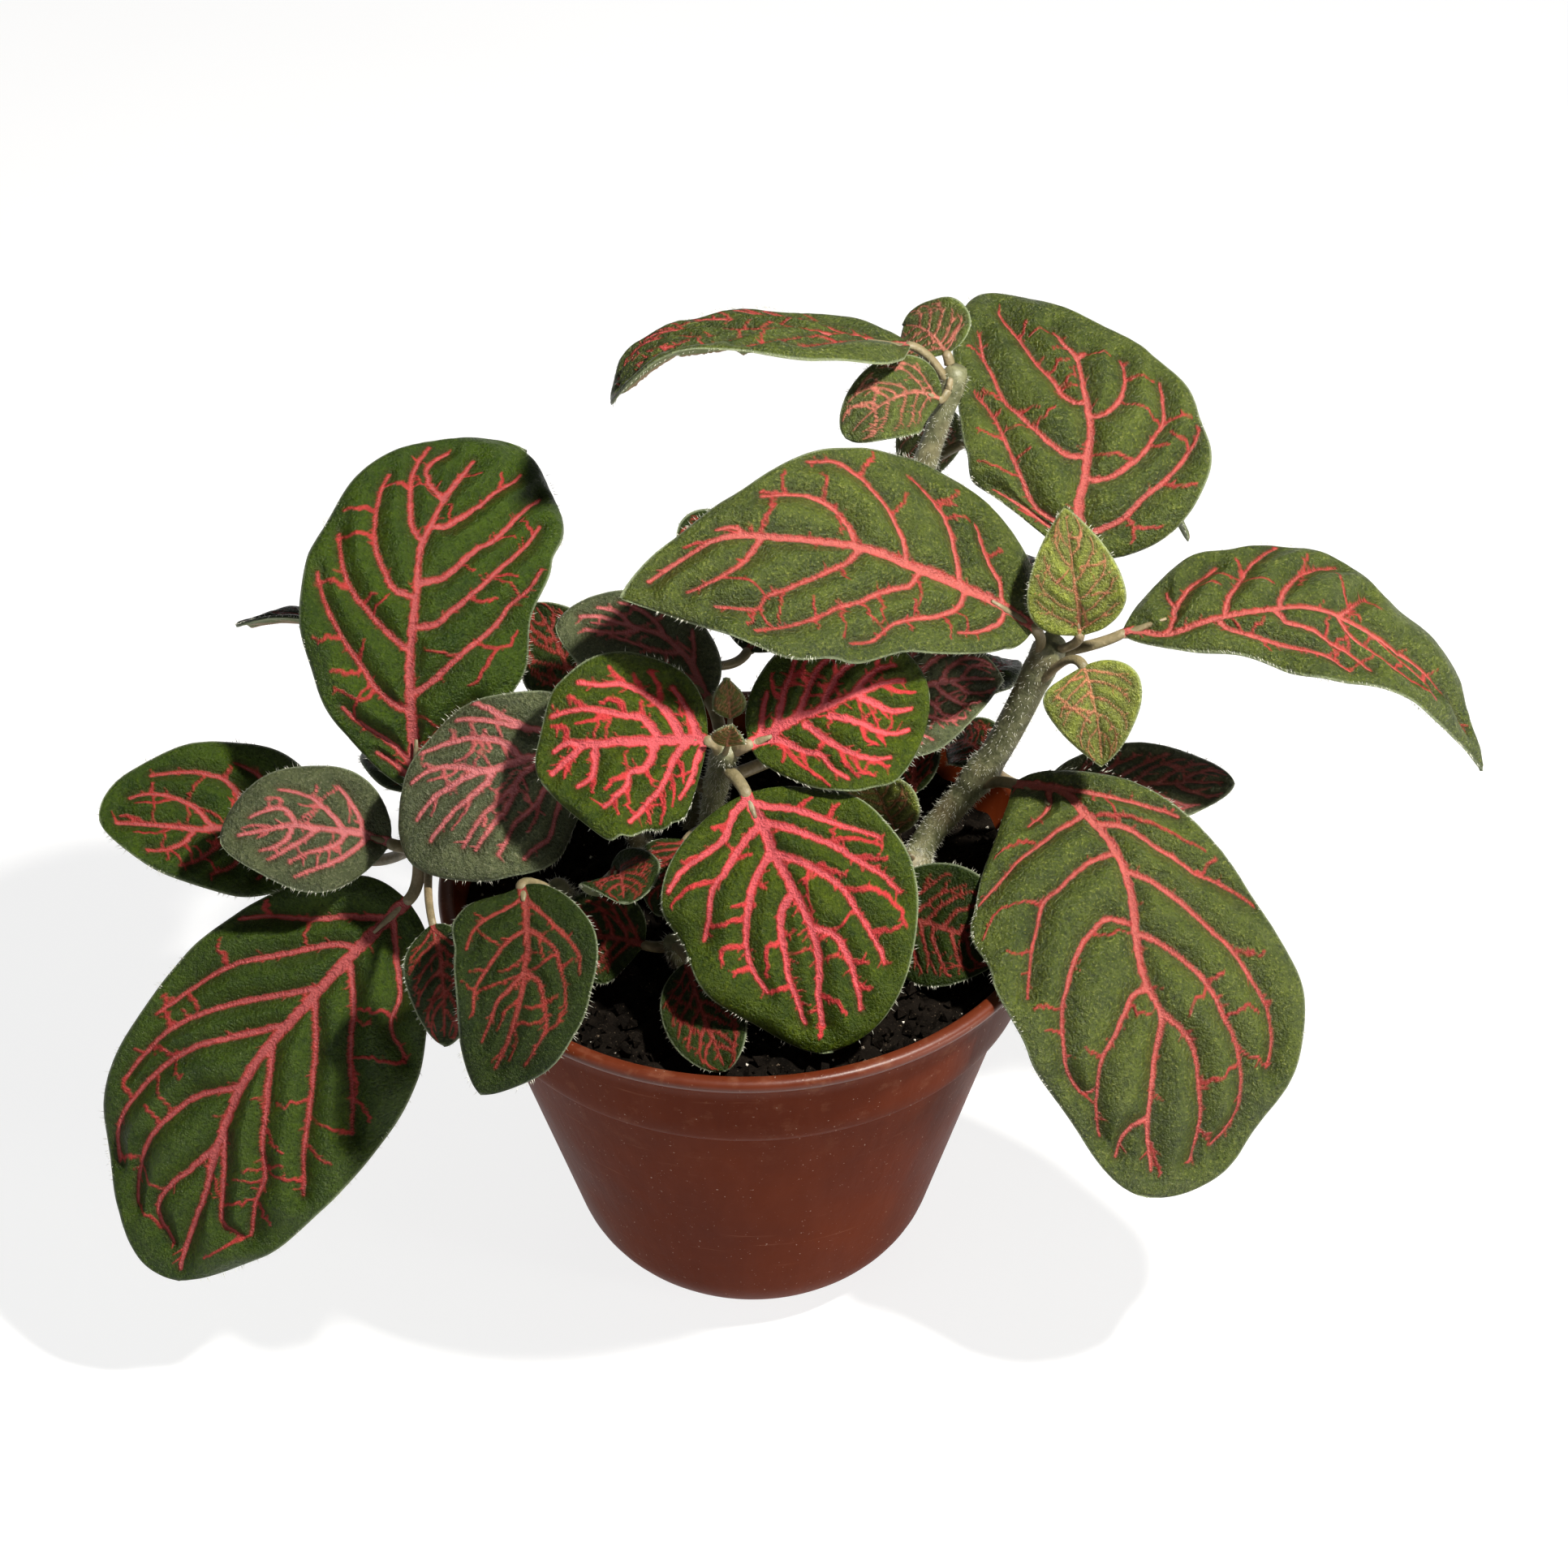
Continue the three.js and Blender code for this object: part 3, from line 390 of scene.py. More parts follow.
# Veins of the leaves seen best, drawn one by one: the midrib vein (rib), the veins that leave it (major),
# and their branches and links (minor), with a semicolon between two veins. Each is a row of points: how
# far along the midrib from the blade's base to its tip, and how far across it as a share of the outline's
# half width there, above 0 on the right side as seen along the midrib from above.
VEINS = {
    "left_front": dict(
        rib="0 0, .35 0, .5 .03, .62 0, .72 -.05, .8 -.1, .9 -.06, .97 0",
        major="""
        .07 0, .13 .3, .2 .5, .26 .72, .3 .82; .17 0, .21 .2, .3 .42, .38 .6, .46 .72, .53 .82;
        .29 0, .36 .2, .45 .48, .54 .7, .6 .78, .66 .86;
        .39 0, .46 .2, .56 .5, .67 .72, .75 .84, .8 .82; .55 .02, .64 .33, .78 .58, .86 .62;
        .69 -.02, .76 .12, .86 .35, .92 .15; .05 0, .12 -.35, .19 -.58, .24 -.6, .28 -.85;
        .2 0, .28 -.3, .37 -.5, .43 -.65, .5 -.8;
        .31 0, .38 -.22, .47 -.4, .6 -.62, .66 -.75, .69 -.82;
        .45 0, .53 -.15, .64 -.35, .7 -.5, .76 -.55, .85 -.72; .64 0, .73 -.18, .83 -.35, .86 -.68""",
        minor="""
        .2 .5, .245 .33; .47 .72, .485 .58; .585 .76, .56 .5; .79 .82, .775 .6; .66 .86, .68 .75;
        .23 -.6, .27 -.33; .29 -.85, .36 -.5; .5 -.8, .52 -.5; .66 -.73, .68 -.45; .86 -.68, .93 -.4;
        .26 .72, .24 .85; .38 .6, .35 .78; .53 .68, .5 .85; .7 .45, .68 .62; .76 -.55, .8 -.8;
        .43 -.65, .45 -.85; .37 -.5, .4 -.62, .44 -.66; .6 -.3, .62 -.5; .58 -.6, .58 -.82""",
    ),
    "right_low": dict(
        rib="0 0, .1 -.35, .2 -.22, .3 -.18, .4 -.11, .5 -.02, .6 0, .66 -.05, .72 0, "
            ".8 .06, .87 .1, .95 .03",
        major="""
        .08 -.3, .12 0, .13 .5; .2 -.23, .195 .05, .2 .42, .21 .72, .235 1, .27 1.2;
        .315 -.18, .305 .03, .315 .22, .335 .42, .35 .58, .4 .66, .46 .74, .57 .82;
        .465 0, .445 .14, .465 .3, .51 .44, .585 .57, .67 .63, .745 .66, .8 .6, .79 .48;
        .6 0, .62 .14, .67 .25, .72 .38, .79 .48, .89 .58; .85 .1, .88 .3, .93 .5;
        .1 -.4, .15 -.5, .2 -.6, .25 -.75, .3 -.85;
        .24 -.25, .28 -.42, .345 -.52, .41 -.64, .45 -.8, .5 -.92;
        .36 -.13, .4 -.28, .465 -.42, .52 -.52, .57 -.63, .63 -.72, .68 -.8, .73 -.84, .77 -.83;
        .49 -.03, .52 -.15, .56 -.27, .61 -.38, .67 -.46, .725 -.56, .8 -.64, .85 -.68, .9 -.6;
        .655 -.05, .69 -.17, .73 -.25, .8 -.3, .87 -.38, .93 -.45""",
        minor="""
        .19 .5, .165 .75, .17 1.1; .35 .58, .325 .85, .34 1.05, .38 1.1; .6 .8, .61 .58;
        .57 -.63, .58 -.82; .725 -.56, .765 -.82; .87 -.38, .9 -.6; .46 .74, .44 .92; .72 .38, .7 .52;
        .66 .62, .65 .76; .61 -.38, .6 -.5; .68 -.47, .66 -.62, .68 -.72; .8 -.3, .78 -.42;
        .22 -.27, .26 -.5, .33 -.66, .38 -.8; .9 .05, .95 -.1; .41 -.64, .4 -.85""",
    ),
    "right_inward": dict(
        rib="0 0, .3 .01, .38 .03, .46 .07, .55 .1, .63 .14, .7 .22, .77 .28, .85 .22, .93 .1",
        major="""
        .09 0, .11 .28, .155 .45, .195 .7; .2 0, .215 .2, .245 .5, .275 .68, .33 .86;
        .335 .02, .345 .18, .375 .42, .42 .64, .455 .78, .5 .86, .55 .86;
        .46 .07, .468 .24, .51 .46, .56 .55, .61 .6, .65 .62; .7 .22, .72 .36, .755 .42;
        .08 -.05, .1 -.32, .15 -.48, .19 -.52;
        .185 -.04, .2 -.24, .245 -.38, .31 -.47, .37 -.58, .42 -.76, .48 -.84;
        .305 -.04, .33 -.18, .39 -.3, .45 -.45, .51 -.55, .58 -.72, .66 -.88, .73 -1.02;
        .45 .04, .485 -.12, .555 -.27, .63 -.42, .68 -.52, .72 -.72, .81 -.78;
        .665 .15, .69 0, .74 -.2, .8 -.35, .86 -.5""",
        minor="""
        .275 .68, .245 .88; .44 .76, .42 .97; .375 .42, .355 .62; .605 .6, .6 .8; .52 .48, .525 .72;
        .235 -.37, .22 -.62; .405 -.32, .4 -.6; .5 -.54, .505 -.82; .63 -.42, .665 -.85;
        .715 -.73, .745 -.98; .33 -.47, .32 -.6; .56 -.68, .57 -.82; .5 -.15, .49 -.3;
        .155 .45, .14 .62; .61 .6, .65 .66; .77 .28, .83 .4""",
    ),
    "left_upright": dict(
        rib="0 0, .1 -.04, .2 -.07, .3 -.09, .4 -.1, .5 -.13, .6 -.2, .66 -.21, .7 -.22, .75 -.24",
        major="""
        .23 -.06, .26 .1, .305 .24, .37 .4, .44 .54, .51 .6, .57 .7, .66 .78;
        .4 -.07, .42 .1, .465 .19, .505 .28, .59 .42, .67 .53, .77 .66, .82 .72;
        .51 -.11, .555 .07, .64 .2, .7 .32, .78 .42, .86 .55, .91 .7;
        .67 -.21, .685 -.08, .735 0, .8 .08, .87 .14, .94 .25; .75 -.24, .8 -.27, .84 -.3, .89 -.38;
        .02 -.05, .05 -.4, .085 -.75; .05 -.05, .09 -.3, .13 -.58, .16 -.76, .19 -.86;
        .19 -.08, .205 -.27, .245 -.46, .285 -.55, .345 -.7, .43 -.86, .48 -.92;
        .335 -.1, .36 -.26, .4 -.43, .46 -.64, .52 -.76, .58 -.86;
        .475 -.12, .48 -.28, .52 -.42, .59 -.57, .66 -.68, .74 -.78;
        .62 -.2, .64 -.33, .69 -.45, .74 -.57, .8 -.7, .85 -.8;
        .75 -.24, .775 -.47, .81 -.6, .87 -.66; .08 0, .12 .25, .17 .42, .22 .62""",
        minor="""
        .38 .43, .375 .6, .39 .7, .44 .72; .375 .62, .3 .55, .27 .5; .235 -.45, .22 -.62, .235 -.85;
        .28 -.55, .27 -.85; .345 -.73, .34 -.95; .465 -.66, .465 -.9; .59 -.57, .565 -.85;
        .65 -.67, .63 -.9; .735 -.56, .71 -.75; .505 .28, .5 .42, .52 .5; .59 .42, .6 .6;
        .7 .32, .73 .5; .78 .66, .8 .5; .3 -.56, .35 -.5; .84 -.3, .86 -.15; .87 .14, .9 .02""",
    ),
    "right_upright": dict(
        rib="0 0, .1 -.1, .2 -.15, .3 -.08, .4 -.03, .5 .05, .57 .09, .63 .14, .69 .21, .74 .29",
        major="""
        .09 0, .14 .25, .18 .4, .25 .52, .3 .67, .345 .78, .4 .87, .44 .93;
        .32 -.02, .32 .12, .345 .27, .385 .42, .44 .56, .48 .66, .54 .71, .6 .76;
        .55 .08, .54 .2, .565 .33, .6 .44, .645 .54, .7 .62; .74 .29, .79 .3, .84 .35;
        .74 .29, .755 .42; .04 -.1, .07 -.45, .12 -.8, .2 -.93, .27 -.98;
        .1 -.2, .12 -.5, .17 -.68, .22 -.68, .335 -.63, .42 -.63, .56 -.65, .67 -.69, .73 -.77;
        .41 -.04, .43 -.2, .48 -.3, .55 -.38, .62 -.45, .685 -.52, .77 -.56, .83 -.6, .9 -.55;
        .6 .11, .612 .02, .65 -.03, .7 -.04, .77 -.07, .85 -.06, .94 -.02""",
        minor="""
        .18 .42, .15 .6, .1 .75; .155 .62, .17 .9; .3 .67, .28 .8, .285 .97; .48 .66, .475 .88;
        .64 .53, .61 .73; .35 -.66, .38 -.8, .43 -.92; .53 -.66, .58 -.84; .68 -.52, .74 -.78;
        .62 -.45, .6 -.3; .84 -.6, .86 -.8; .42 .52, .4 .66; .12 -.8, .15 -.98; .85 -.06, .88 .15""",
    ),
    "right_outward": dict(
        rib="0 0, .05 .2, .1 .4, .19 .28, .26 .18, .35 .1, .45 0, .6 0, .8 .05, .92 .1",
        major="""
        .115 .3, .14 -.1, .13 -.75; .14 -.15, .2 -.62, .255 -.8;
        .26 .17, .28 -.2, .31 -.5, .34 -.75, .395 -.95;
        .395 .04, .405 -.22, .44 -.5, .49 -.7, .53 -.8; .54 -.02, .56 -.2, .6 -.5;
        .25 .28, .28 .42, .35 .5, .42 .55, .52 .6, .58 .7;
        .385 .1, .415 .25, .475 .3, .515 .4, .58 .5, .635 .6; .54 .05, .595 .25, .66 .32, .74 .42;
        .62 .03, .7 .15, .8 .25""",
        minor="""
        .52 .4, .545 .62; .31 -.5, .3 -.8; .44 -.5, .46 -.8; .66 .32, .68 .55; .6 -.5, .63 -.3;
        .35 .5, .37 .65; .74 .42, .8 .6; .2 -.62, .23 -.5""",
    ),
    "rosette_front": dict(
        rib="0 0, .1 -.03, .3 -.03, .4 -.06, .5 -.1, .6 -.12, .7 -.1, .8 -.01, .9 .05",
        major="""
        .03 0, .07 .3, .14 .38, .17 .45, .2 .65, .235 .85, .285 .93;
        .16 0, .2 .2, .245 .32, .29 .43, .335 .55, .42 .62, .5 .72;
        .28 -.02, .335 .13, .41 .25, .475 .33, .56 .42, .64 .46, .74 .45;
        .44 -.08, .475 .02, .53 .1, .62 .15, .71 .2, .8 .22, .88 .27;
        .05 -.05, .1 -.25, .155 -.45, .23 -.58, .29 -.7, .37 -.88;
        .14 -.03, .21 -.25, .265 -.37, .33 -.5, .41 -.62, .48 -.76, .56 -.88;
        .28 -.03, .345 -.2, .4 -.32, .48 -.43, .57 -.5, .66 -.6, .76 -.72;
        .58 -.12, .63 -.28, .71 -.36, .8 -.42, .88 -.5""",
        minor="""
        .31 .52, .3 .75, .345 .9; .475 .33, .46 .65; .57 .43, .56 .6, .6 .65; .64 .47, .65 .62;
        .6 .15, .6 .28, .69 .38; .745 .2, .745 .44; .155 -.45, .13 -.7; .325 -.49, .34 -.68, .4 -.85;
        .49 -.45, .52 -.68, .6 -.85, .67 -.9; .39 -.33, .45 -.5; .66 -.6, .66 -.85; .8 -.42, .82 -.6;
        .12 .35, .1 .6; .2 .65, .19 .85; .23 -.58, .2 -.8; .44 .26, .42 .42; .71 -.36, .74 -.55;
        .8 -.01, .84 -.2, .88 -.3; .35 .16, .4 .12; .41 -.62, .44 -.85; .9 .05, .94 .2;
        .24 .33, .26 .15""",
    ),
    "rosette_left": dict(
        rib="0 0, .3 0, .5 .05, .6 .085, .68 .15, .8 .12, .92 .1",
        major="""
        .17 0, .22 .25, .28 .4, .345 .52, .43 .62, .535 .66, .62 .78;
        .3 0, .38 .25, .46 .3, .53 .38, .63 .5, .78 .7; .68 .15, .74 .24, .78 .3, .85 .35;
        .01 0, .06 -.4, .11 -.68, .2 -.75;
        .12 -.03, .21 -.2, .27 -.38, .35 -.52, .44 -.6, .54 -.7, .62 -.78;
        .33 -.05, .41 -.25, .51 -.27, .55 -.38, .66 -.5, .75 -.62; .65 .1, .73 -.2, .84 -.3;
        .06 0, .1 .3, .14 .5, .2 .68""",
        minor="""
        .28 .4, .26 .6, .3 .78; .38 .25, .36 .42; .46 .3, .48 .45, .56 .5; .53 .38, .6 .34, .7 .42;
        .43 .62, .48 .8; .345 .52, .38 .72; .63 .5, .68 .72; .21 -.2, .18 -.42, .17 -.6;
        .27 -.38, .24 -.55, .27 -.75; .35 -.52, .34 -.7, .38 -.84; .44 -.6, .46 -.8;
        .41 -.25, .4 -.42; .51 -.27, .62 -.3, .7 -.4; .55 -.38, .58 -.58; .66 -.5, .68 -.7;
        .73 -.2, .78 -.42; .78 .3, .76 .5, .8 .62; .8 .12, .88 -.1; .11 -.68, .08 -.8; .54 -.7, .6 -.6""",
    ),
    "rosette_right": dict(
        rib="0 0, .1 -.04, .2 -.09, .3 -.1, .4 -.1, .5 -.13, .54 -.15, .63 -.17, .73 -.25, .85 -.3",
        major="""
        .14 -.07, .18 -.22, .23 -.43, .28 -.58, .32 -.69, .36 -.82;
        .27 -.1, .34 -.3, .38 -.41, .42 -.51, .5 -.64, .57 -.76;
        .39 -.1, .45 -.25, .52 -.43, .59 -.52, .66 -.62, .74 -.72;
        .57 -.16, .66 -.33, .73 -.46, .82 -.55; .05 .0, .09 -.25, .12 -.45, .17 -.65;
        .08 .0, .155 .11, .24 .31, .32 .4, .36 .6, .42 .74;
        .3 .0, .365 .23, .42 .37, .48 .49, .58 .62, .68 .7;
        .43 .0, .5 .09, .576 .2, .64 .33, .73 .45, .83 .52; .6 -.1, .68 .02, .76 .14, .87 .2""",
        minor="""
        .12 .05, .17 .3, .2 .5, .25 .62, .32 .8; .42 .37, .425 .58, .475 .75;
        .23 -.43, .2 -.6, .22 -.8; .28 -.58, .34 -.6, .38 -.56; .38 -.41, .36 -.6, .42 -.76;
        .45 -.25, .42 -.4; .5 -.64, .49 -.85; .52 -.43, .52 -.6; .59 -.52, .6 -.7; .73 -.46, .74 -.62;
        .73 -.25, .79 -.12, .9 -.1; .155 .11, .15 .35, .13 .5; .24 .31, .24 .55;
        .48 .49, .5 .7, .56 .8; .365 .23, .33 .32; .576 .2, .56 .38, .62 .5; .64 .33, .66 .52;
        .68 .02, .72 .22; .58 .62, .66 .78""",
    ),
    "inner_left": dict(
        rib="0 0, .2 .02, .27 .06, .36 .09, .48 .12, .55 .19, .6 .22, .68 .26, .74 .32, .85 .38",
        major="""
        .36 .09, .4 .3, .45 .42, .5 .51, .56 .6, .61 .67, .68 .78;
        .12 .15, .24 .35, .32 .42, .38 .52, .45 .66, .52 .78; .3 .4, .35 .52, .39 .66, .44 .84;
        .55 .2, .6 .36, .67 .53, .77 .68;
        .3 0, .37 -.04, .46 -.12, .54 -.19, .63 -.22, .72 -.31, .8 -.42;
        .2 -.1, .3 -.26, .37 -.38, .45 -.42, .52 -.45, .6 -.55, .7 -.7;
        .12 -.2, .25 -.52, .33 -.68, .39 -.76, .52 -.78, .6 -.84;
        .5 .1, .56 .04, .63 .02, .7 .03, .78 .02, .88 0;
        .44 -.15, .52 -.27, .6 -.35, .68 -.42, .77 -.54""",
        minor="""
        .5 .51, .53 .4, .6 .44; .6 .36, .64 .36, .72 .5; .74 .32, .8 .2; .63 .02, .68 -.08, .78 -.14;
        .56 .6, .55 .74; .45 .42, .47 .3; .37 -.38, .42 -.52, .5 -.6; .63 -.22, .66 -.34;
        .67 .53, .7 .66""",
    ),
    "overhanging": dict(
        rib="0 0, .16 -.05, .32 -.08, .425 -.13, .515 -.13, .615 -.17, .73 -.19, .81 -.19, .9 -.16",
        major="""
        .515 -.13, .59 0, .665 .15, .735 .2, .82 .3;
        .51 -.13, .545 -.37, .625 -.53, .72 -.72, .78 -.72, .86 -.8;
        .31 -.08, .34 -.28, .4 -.52, .46 -.6, .53 -.72, .64 -.88;
        .31 -.08, .37 .11, .45 .25, .54 .38, .63 .5, .72 .5; .08 0, .2 .35, .27 .54, .35 .64, .46 .68;
        .08 -.02, .18 -.25, .27 -.47, .4 -.82, .48 -.88""",
        minor="""
        .62 -.17, .68 0, .76 .06; .73 -.19, .78 -.34, .86 -.4; .46 -.6, .42 -.76; .54 .38, .56 .6;
        .63 .5, .6 .7; .425 -.13, .5 .04, .53 .2; .625 -.53, .58 -.68; .34 -.28, .44 -.36;
        .81 -.19, .88 -.02; .27 .54, .24 .75; .27 -.47, .33 -.66""",
    ),
    "left_far": dict(
        rib="0 0, .25 -.05, .4 -.1, .5 -.15, .6 -.2, .7 -.18, .8 -.15, .93 -.05",
        major="""
        .53 -.13, .57 0, .62 .13, .68 .25, .78 .4, .86 .47;
        .38 -.1, .42 .15, .46 .38, .5 .5, .58 .58, .68 .65, .77 .72;
        .2 -.04, .26 .2, .32 .42, .38 .6, .47 .72; .6 -.2, .65 -.42, .72 -.55, .82 -.68;
        .45 -.1, .5 -.35, .58 -.6, .67 -.78; .3 -.08, .36 -.35, .44 -.62, .53 -.8;
        .12 -.03, .17 -.3, .24 -.55, .31 -.75""",
        minor="""
        .68 .25, .76 .2, .84 .28; .7 -.18, .76 -.34, .86 -.38; .5 .5, .49 .68; .42 .15, .48 .25;
        .65 -.42, .62 -.6; .5 -.35, .56 -.36; .8 -.15, .85 0, .91 .1; .72 -.55, .73 -.75;
        .78 .4, .77 .56""",
    ),
    "left_small": dict(
        rib="0 0, .2 .02, .35 -.02, .5 0, .6 .03, .72 0, .9 .02",
        major="""
        .18 .02, .2 .25, .27 .5, .35 .7; .3 0, .35 .15, .42 .32, .48 .46, .53 .52, .65 .66;
        .57 .03, .6 .17, .66 .34, .72 .36, .82 .36; .27 -.02, .33 -.25, .42 -.35, .52 -.42, .63 -.58;
        .6 -.02, .64 -.22, .7 -.33, .8 -.44; .14 -.02, .2 -.3, .3 -.5, .42 -.62, .52 -.7, .6 -.8;
        .45 -.02, .52 -.18, .6 -.3, .68 -.45, .76 -.6""",
        minor="""
        .42 .32, .5 .3, .56 .36; .66 .34, .66 .5, .72 .56; .7 -.33, .7 -.48; .48 .46, .46 .64;
        .2 .25, .24 .2; .33 -.25, .3 -.4; .72 0, .8 .14, .87 .18; .72 0, .8 -.16; .52 -.42, .54 -.6""",
    ),
    "rosette_back": dict(
        rib="0 0, .1 .12, .2 .25, .3 .32, .42 .35, .55 .3, .68 .3, .78 .38, .88 .4",
        major="""
        .3 .32, .36 .15, .45 .05, .56 0, .7 -.02; .42 .35, .5 .5, .6 .62, .7 .7;
        .2 .25, .25 .5, .32 .75; .12 .12, .2 0, .3 -.15, .44 -.28; .55 .3, .63 .12, .72 .05, .84 .02;
        .62 .3, .7 .5, .8 .6""",
        minor="""
        .45 .05, .5 -.12; .5 .5, .48 .7; .72 .05, .76 -.1; .68 .3, .74 .2, .82 .2""",
    ),
}

# How leaves of one kind are veined. cell is the mesh spacing, pairs the secondary veins on a side, rib
# and side the widths of the midrib and of the secondaries, taper the share of its width that a drawn
# secondary ends with, spurs the short side veins per mm, twigs the branches on a grown secondary, and
# quilt how far the tissue swells between the veins.
KIND_VALUES = ("cell", "pairs", "rib", "side", "taper", "spurs", "twigs", "quilt")
KINDS = {
    "mature": (0.27, 6, 1.5, 0.85, 0.38, 0.35, 2, 1.9),
    "vivid": (0.27, 6, 1.6, 0.95, 0.45, 0.35, 2, 1.8),
    "rosette": (0.23, 5, 1.6, 1.2, 0.5, 0.6, 4, 1.2),
    "dusky": (0.27, 6, 1.4, 0.95, 0.5, 0.3, 2, 1.1),
    "shade": (0.27, 6, 1.2, 0.75, 0.45, 0.4, 2, 1.1),
    "olive": (0.26, 5, 0.7, 0.45, 0.45, 0.3, 2, 0.9),
    "young": (0.22, 5, 0.55, 0.36, 0.45, 0.2, 1, 0.8),
}
KIND_OF = {
    "mature": ["right_inward", "right_upright", "right_outward", "right_low", "top_left"],
    "vivid": ["left_upright", "left_front", "left_far"],
    "rosette": ["rosette_left", "rosette_right", "rosette_front"],
    "dusky": [
        "inner_left", "left_small", "rosette_back", "rosette_under_right", "right_low_rear", "rear_left",
    ],
    "olive": ["top_front", "top_back", "top_right", "top_under"],
    "young": ["right_bud_upper", "right_bud_lower", "rosette_bud_near", "rosette_bud_far", "core_young"],
}
# The shade kind, which the leaves not listed take, is a darker copy of the leaf look for leaves that sit in
# shade: painted shade.
DEFAULT_KIND = "shade"

# Veins are thinner on small leaves: SMALL_LEAF_VEINS of the full width, plus the blade's width over
# VEIN_GROWTH.
SMALL_LEAF_VEINS = 0.45
VEIN_GROWTH = 45

# Hairline veins: how many to a square millimetre of length times width, their widths at both ends, and the
# least and the widest gap that they cross. Spurs have widths at both ends too.
HAIRLINES = 0.035
HAIRLINE_WIDTHS = (0.38, 0.26)
HAIRLINE_GAPS = (1.5, 8)
SPUR_WIDTHS = (0.34, 0.12)

# Grown nets. A secondary runs SECONDARY_REACH along the blade and SECONDARY_END across it. The first and
# the last leave the midrib at SECONDARY_STARTS, and those on the left LEFT_SHIFT further on. Each has
# SECONDARY_STEPS points and forks at FORK_STEP, and no midrib goes beyond VEINS_END.
SECONDARY_REACH = 0.33
SECONDARY_END = 0.84
SECONDARY_STARTS = (0.04, 0.68)
LEFT_SHIFT = 0.055
VEINS_END = 0.93
SECONDARY_STEPS = 26
FORK_STEP = 16

# The field of veins on a blade. JAG is how uneven a vein's width is, and VEIN_BLUR how soft its edge is,
# in mm and as a share of its radius. Points are measured to a minor vein within VEIN_NEAR and to a major
# one within MAJOR_NEAR, and are FARTHEST from it elsewhere. Veins stay within VEIN_LAST of the length and
# VEIN_EDGE across.
JAG = 0.28
JAG_SPACING = 0.55
VEIN_BLUR = (0.24, 0.12)
VEIN_NEAR = 0.5
MAJOR_NEAR = 5.0
FARTHEST = 6.0
VEIN_LAST = 0.985
VEIN_EDGE = 0.96

rng = np.random.default_rng(SEED)


def unit(v):
    return v / np.maximum(np.linalg.norm(v, axis=-1, keepdims=True), 1e-9)


def smooth_step(x):
    return x**2 * (3 - 2 * x)


def value_noise(random, x, y, cell):
    """Smooth noise from -1 to 1 at the points x, y, with features of about cell."""
    u = (x - x.min()) / cell
    v = (y - y.min()) / cell
    lattice = random.uniform(-1, 1, (int(u.max()) + 3, int(v.max()) + 3))
    i, j = u.astype(int), v.astype(int)
    a, b = smooth_step(u - i), smooth_step(v - j)
    low = lattice[i, j] * (1 - a) + lattice[i + 1, j] * a
    high = lattice[i, j + 1] * (1 - a) + lattice[i + 1, j + 1] * a
    return low * (1 - b) + high * b


# ---------------------------------------------------------------- curves


def catmull_rom(points, t):
    """Points at t (0 to 1) along a centripetal Catmull-Rom curve through the given points."""
    points = np.array(points, float)
    last = len(points) - 1
    padded = np.vstack([2 * points[0] - points[1], points, 2 * points[-1] - points[-2]])
    span = np.minimum((np.asarray(t, float) * last).astype(int), last - 1)
    w = (np.asarray(t, float) * last - span)[:, None]
    p0, p1, p2, p3 = (padded[span + k] for k in range(4))
    steps = ((p0, p1), (p1, p2), (p2, p3))
    d0, d1, d2 = (np.linalg.norm(b - a, axis=1, keepdims=True) ** 0.5 for a, b in steps)
    m1 = ((p1 - p0) / d0 - (p2 - p0) / (d0 + d1) + (p2 - p1) / d1) * d1
    m2 = ((p2 - p1) / d1 - (p3 - p1) / (d1 + d2) + (p3 - p2) / d2) * d1
    return p1 + m1 * w + (3 * (p2 - p1) - 2 * m1 - m2) * w**2 + (2 * (p1 - p2) + m1 + m2) * w**3


def bezier(points, s):
    """Points and unit tangents at s along a cubic Bezier curve."""
    p0, p1, p2, p3 = np.array(points, float)
    s = s[:, None]
    r = 1 - s
    place = r**3 * p0 + 3 * r * r * s * p1 + 3 * r * s * s * p2 + s**3 * p3
    slope = r * r * (p1 - p0) + 2 * r * s * (p2 - p1) + s * s * (p3 - p2)
    return place, unit(slope)


def stem_points(name, t):
    return catmull_rom(STEMS[name][:4], t)


# ---------------------------------------------------------------- meshes


def sheet_faces(rows, columns):
    """Quads of a closed sheet, rows by columns points a face, with 0 for the top's and 1 for the others."""
    i, j = (a.ravel() for a in np.meshgrid(np.arange(rows - 1), np.arange(columns - 1), indexing="ij"))
    a = i * columns + j
    top = np.stack([a, a + 1, a + columns + 1, a + columns], 1)
    low = top[:, ::-1] + rows * columns
    rim = np.concatenate([
        np.arange(columns), np.arange(2, rows + 1) * columns - 1,
        np.arange(rows * columns - 2, (rows - 1) * columns - 1, -1), np.arange(rows - 2, 0, -1) * columns,
    ])
    nxt = np.roll(rim, -1)
    edge = np.stack([rim, rim + rows * columns, nxt + rows * columns, nxt], 1)
    kind = np.concatenate([np.zeros(len(top), int), np.ones(len(low), int), np.ones(len(edge), int)])
    return np.concatenate([top, low, edge]), kind


def ring_faces(rows, sides):
    """Quads between rows of points round an axis, and triangles from both ends to the last two points."""
    i, j = (a.ravel() for a in np.meshgrid(np.arange(rows - 1), np.arange(sides), indexing="ij"))
    k = (j + 1) % sides
    quads = np.stack([i * sides + j, i * sides + k, (i + 1) * sides + k, (i + 1) * sides + j], 1)
    j = np.arange(sides)
    k = (j + 1) % sides
    start = np.stack([np.full(sides, rows * sides), k, j], 1)
    end = np.stack([np.full(sides, rows * sides + 1), (rows - 1) * sides + j, (rows - 1) * sides + k], 1)
    return [quads, np.vstack([start, end])]


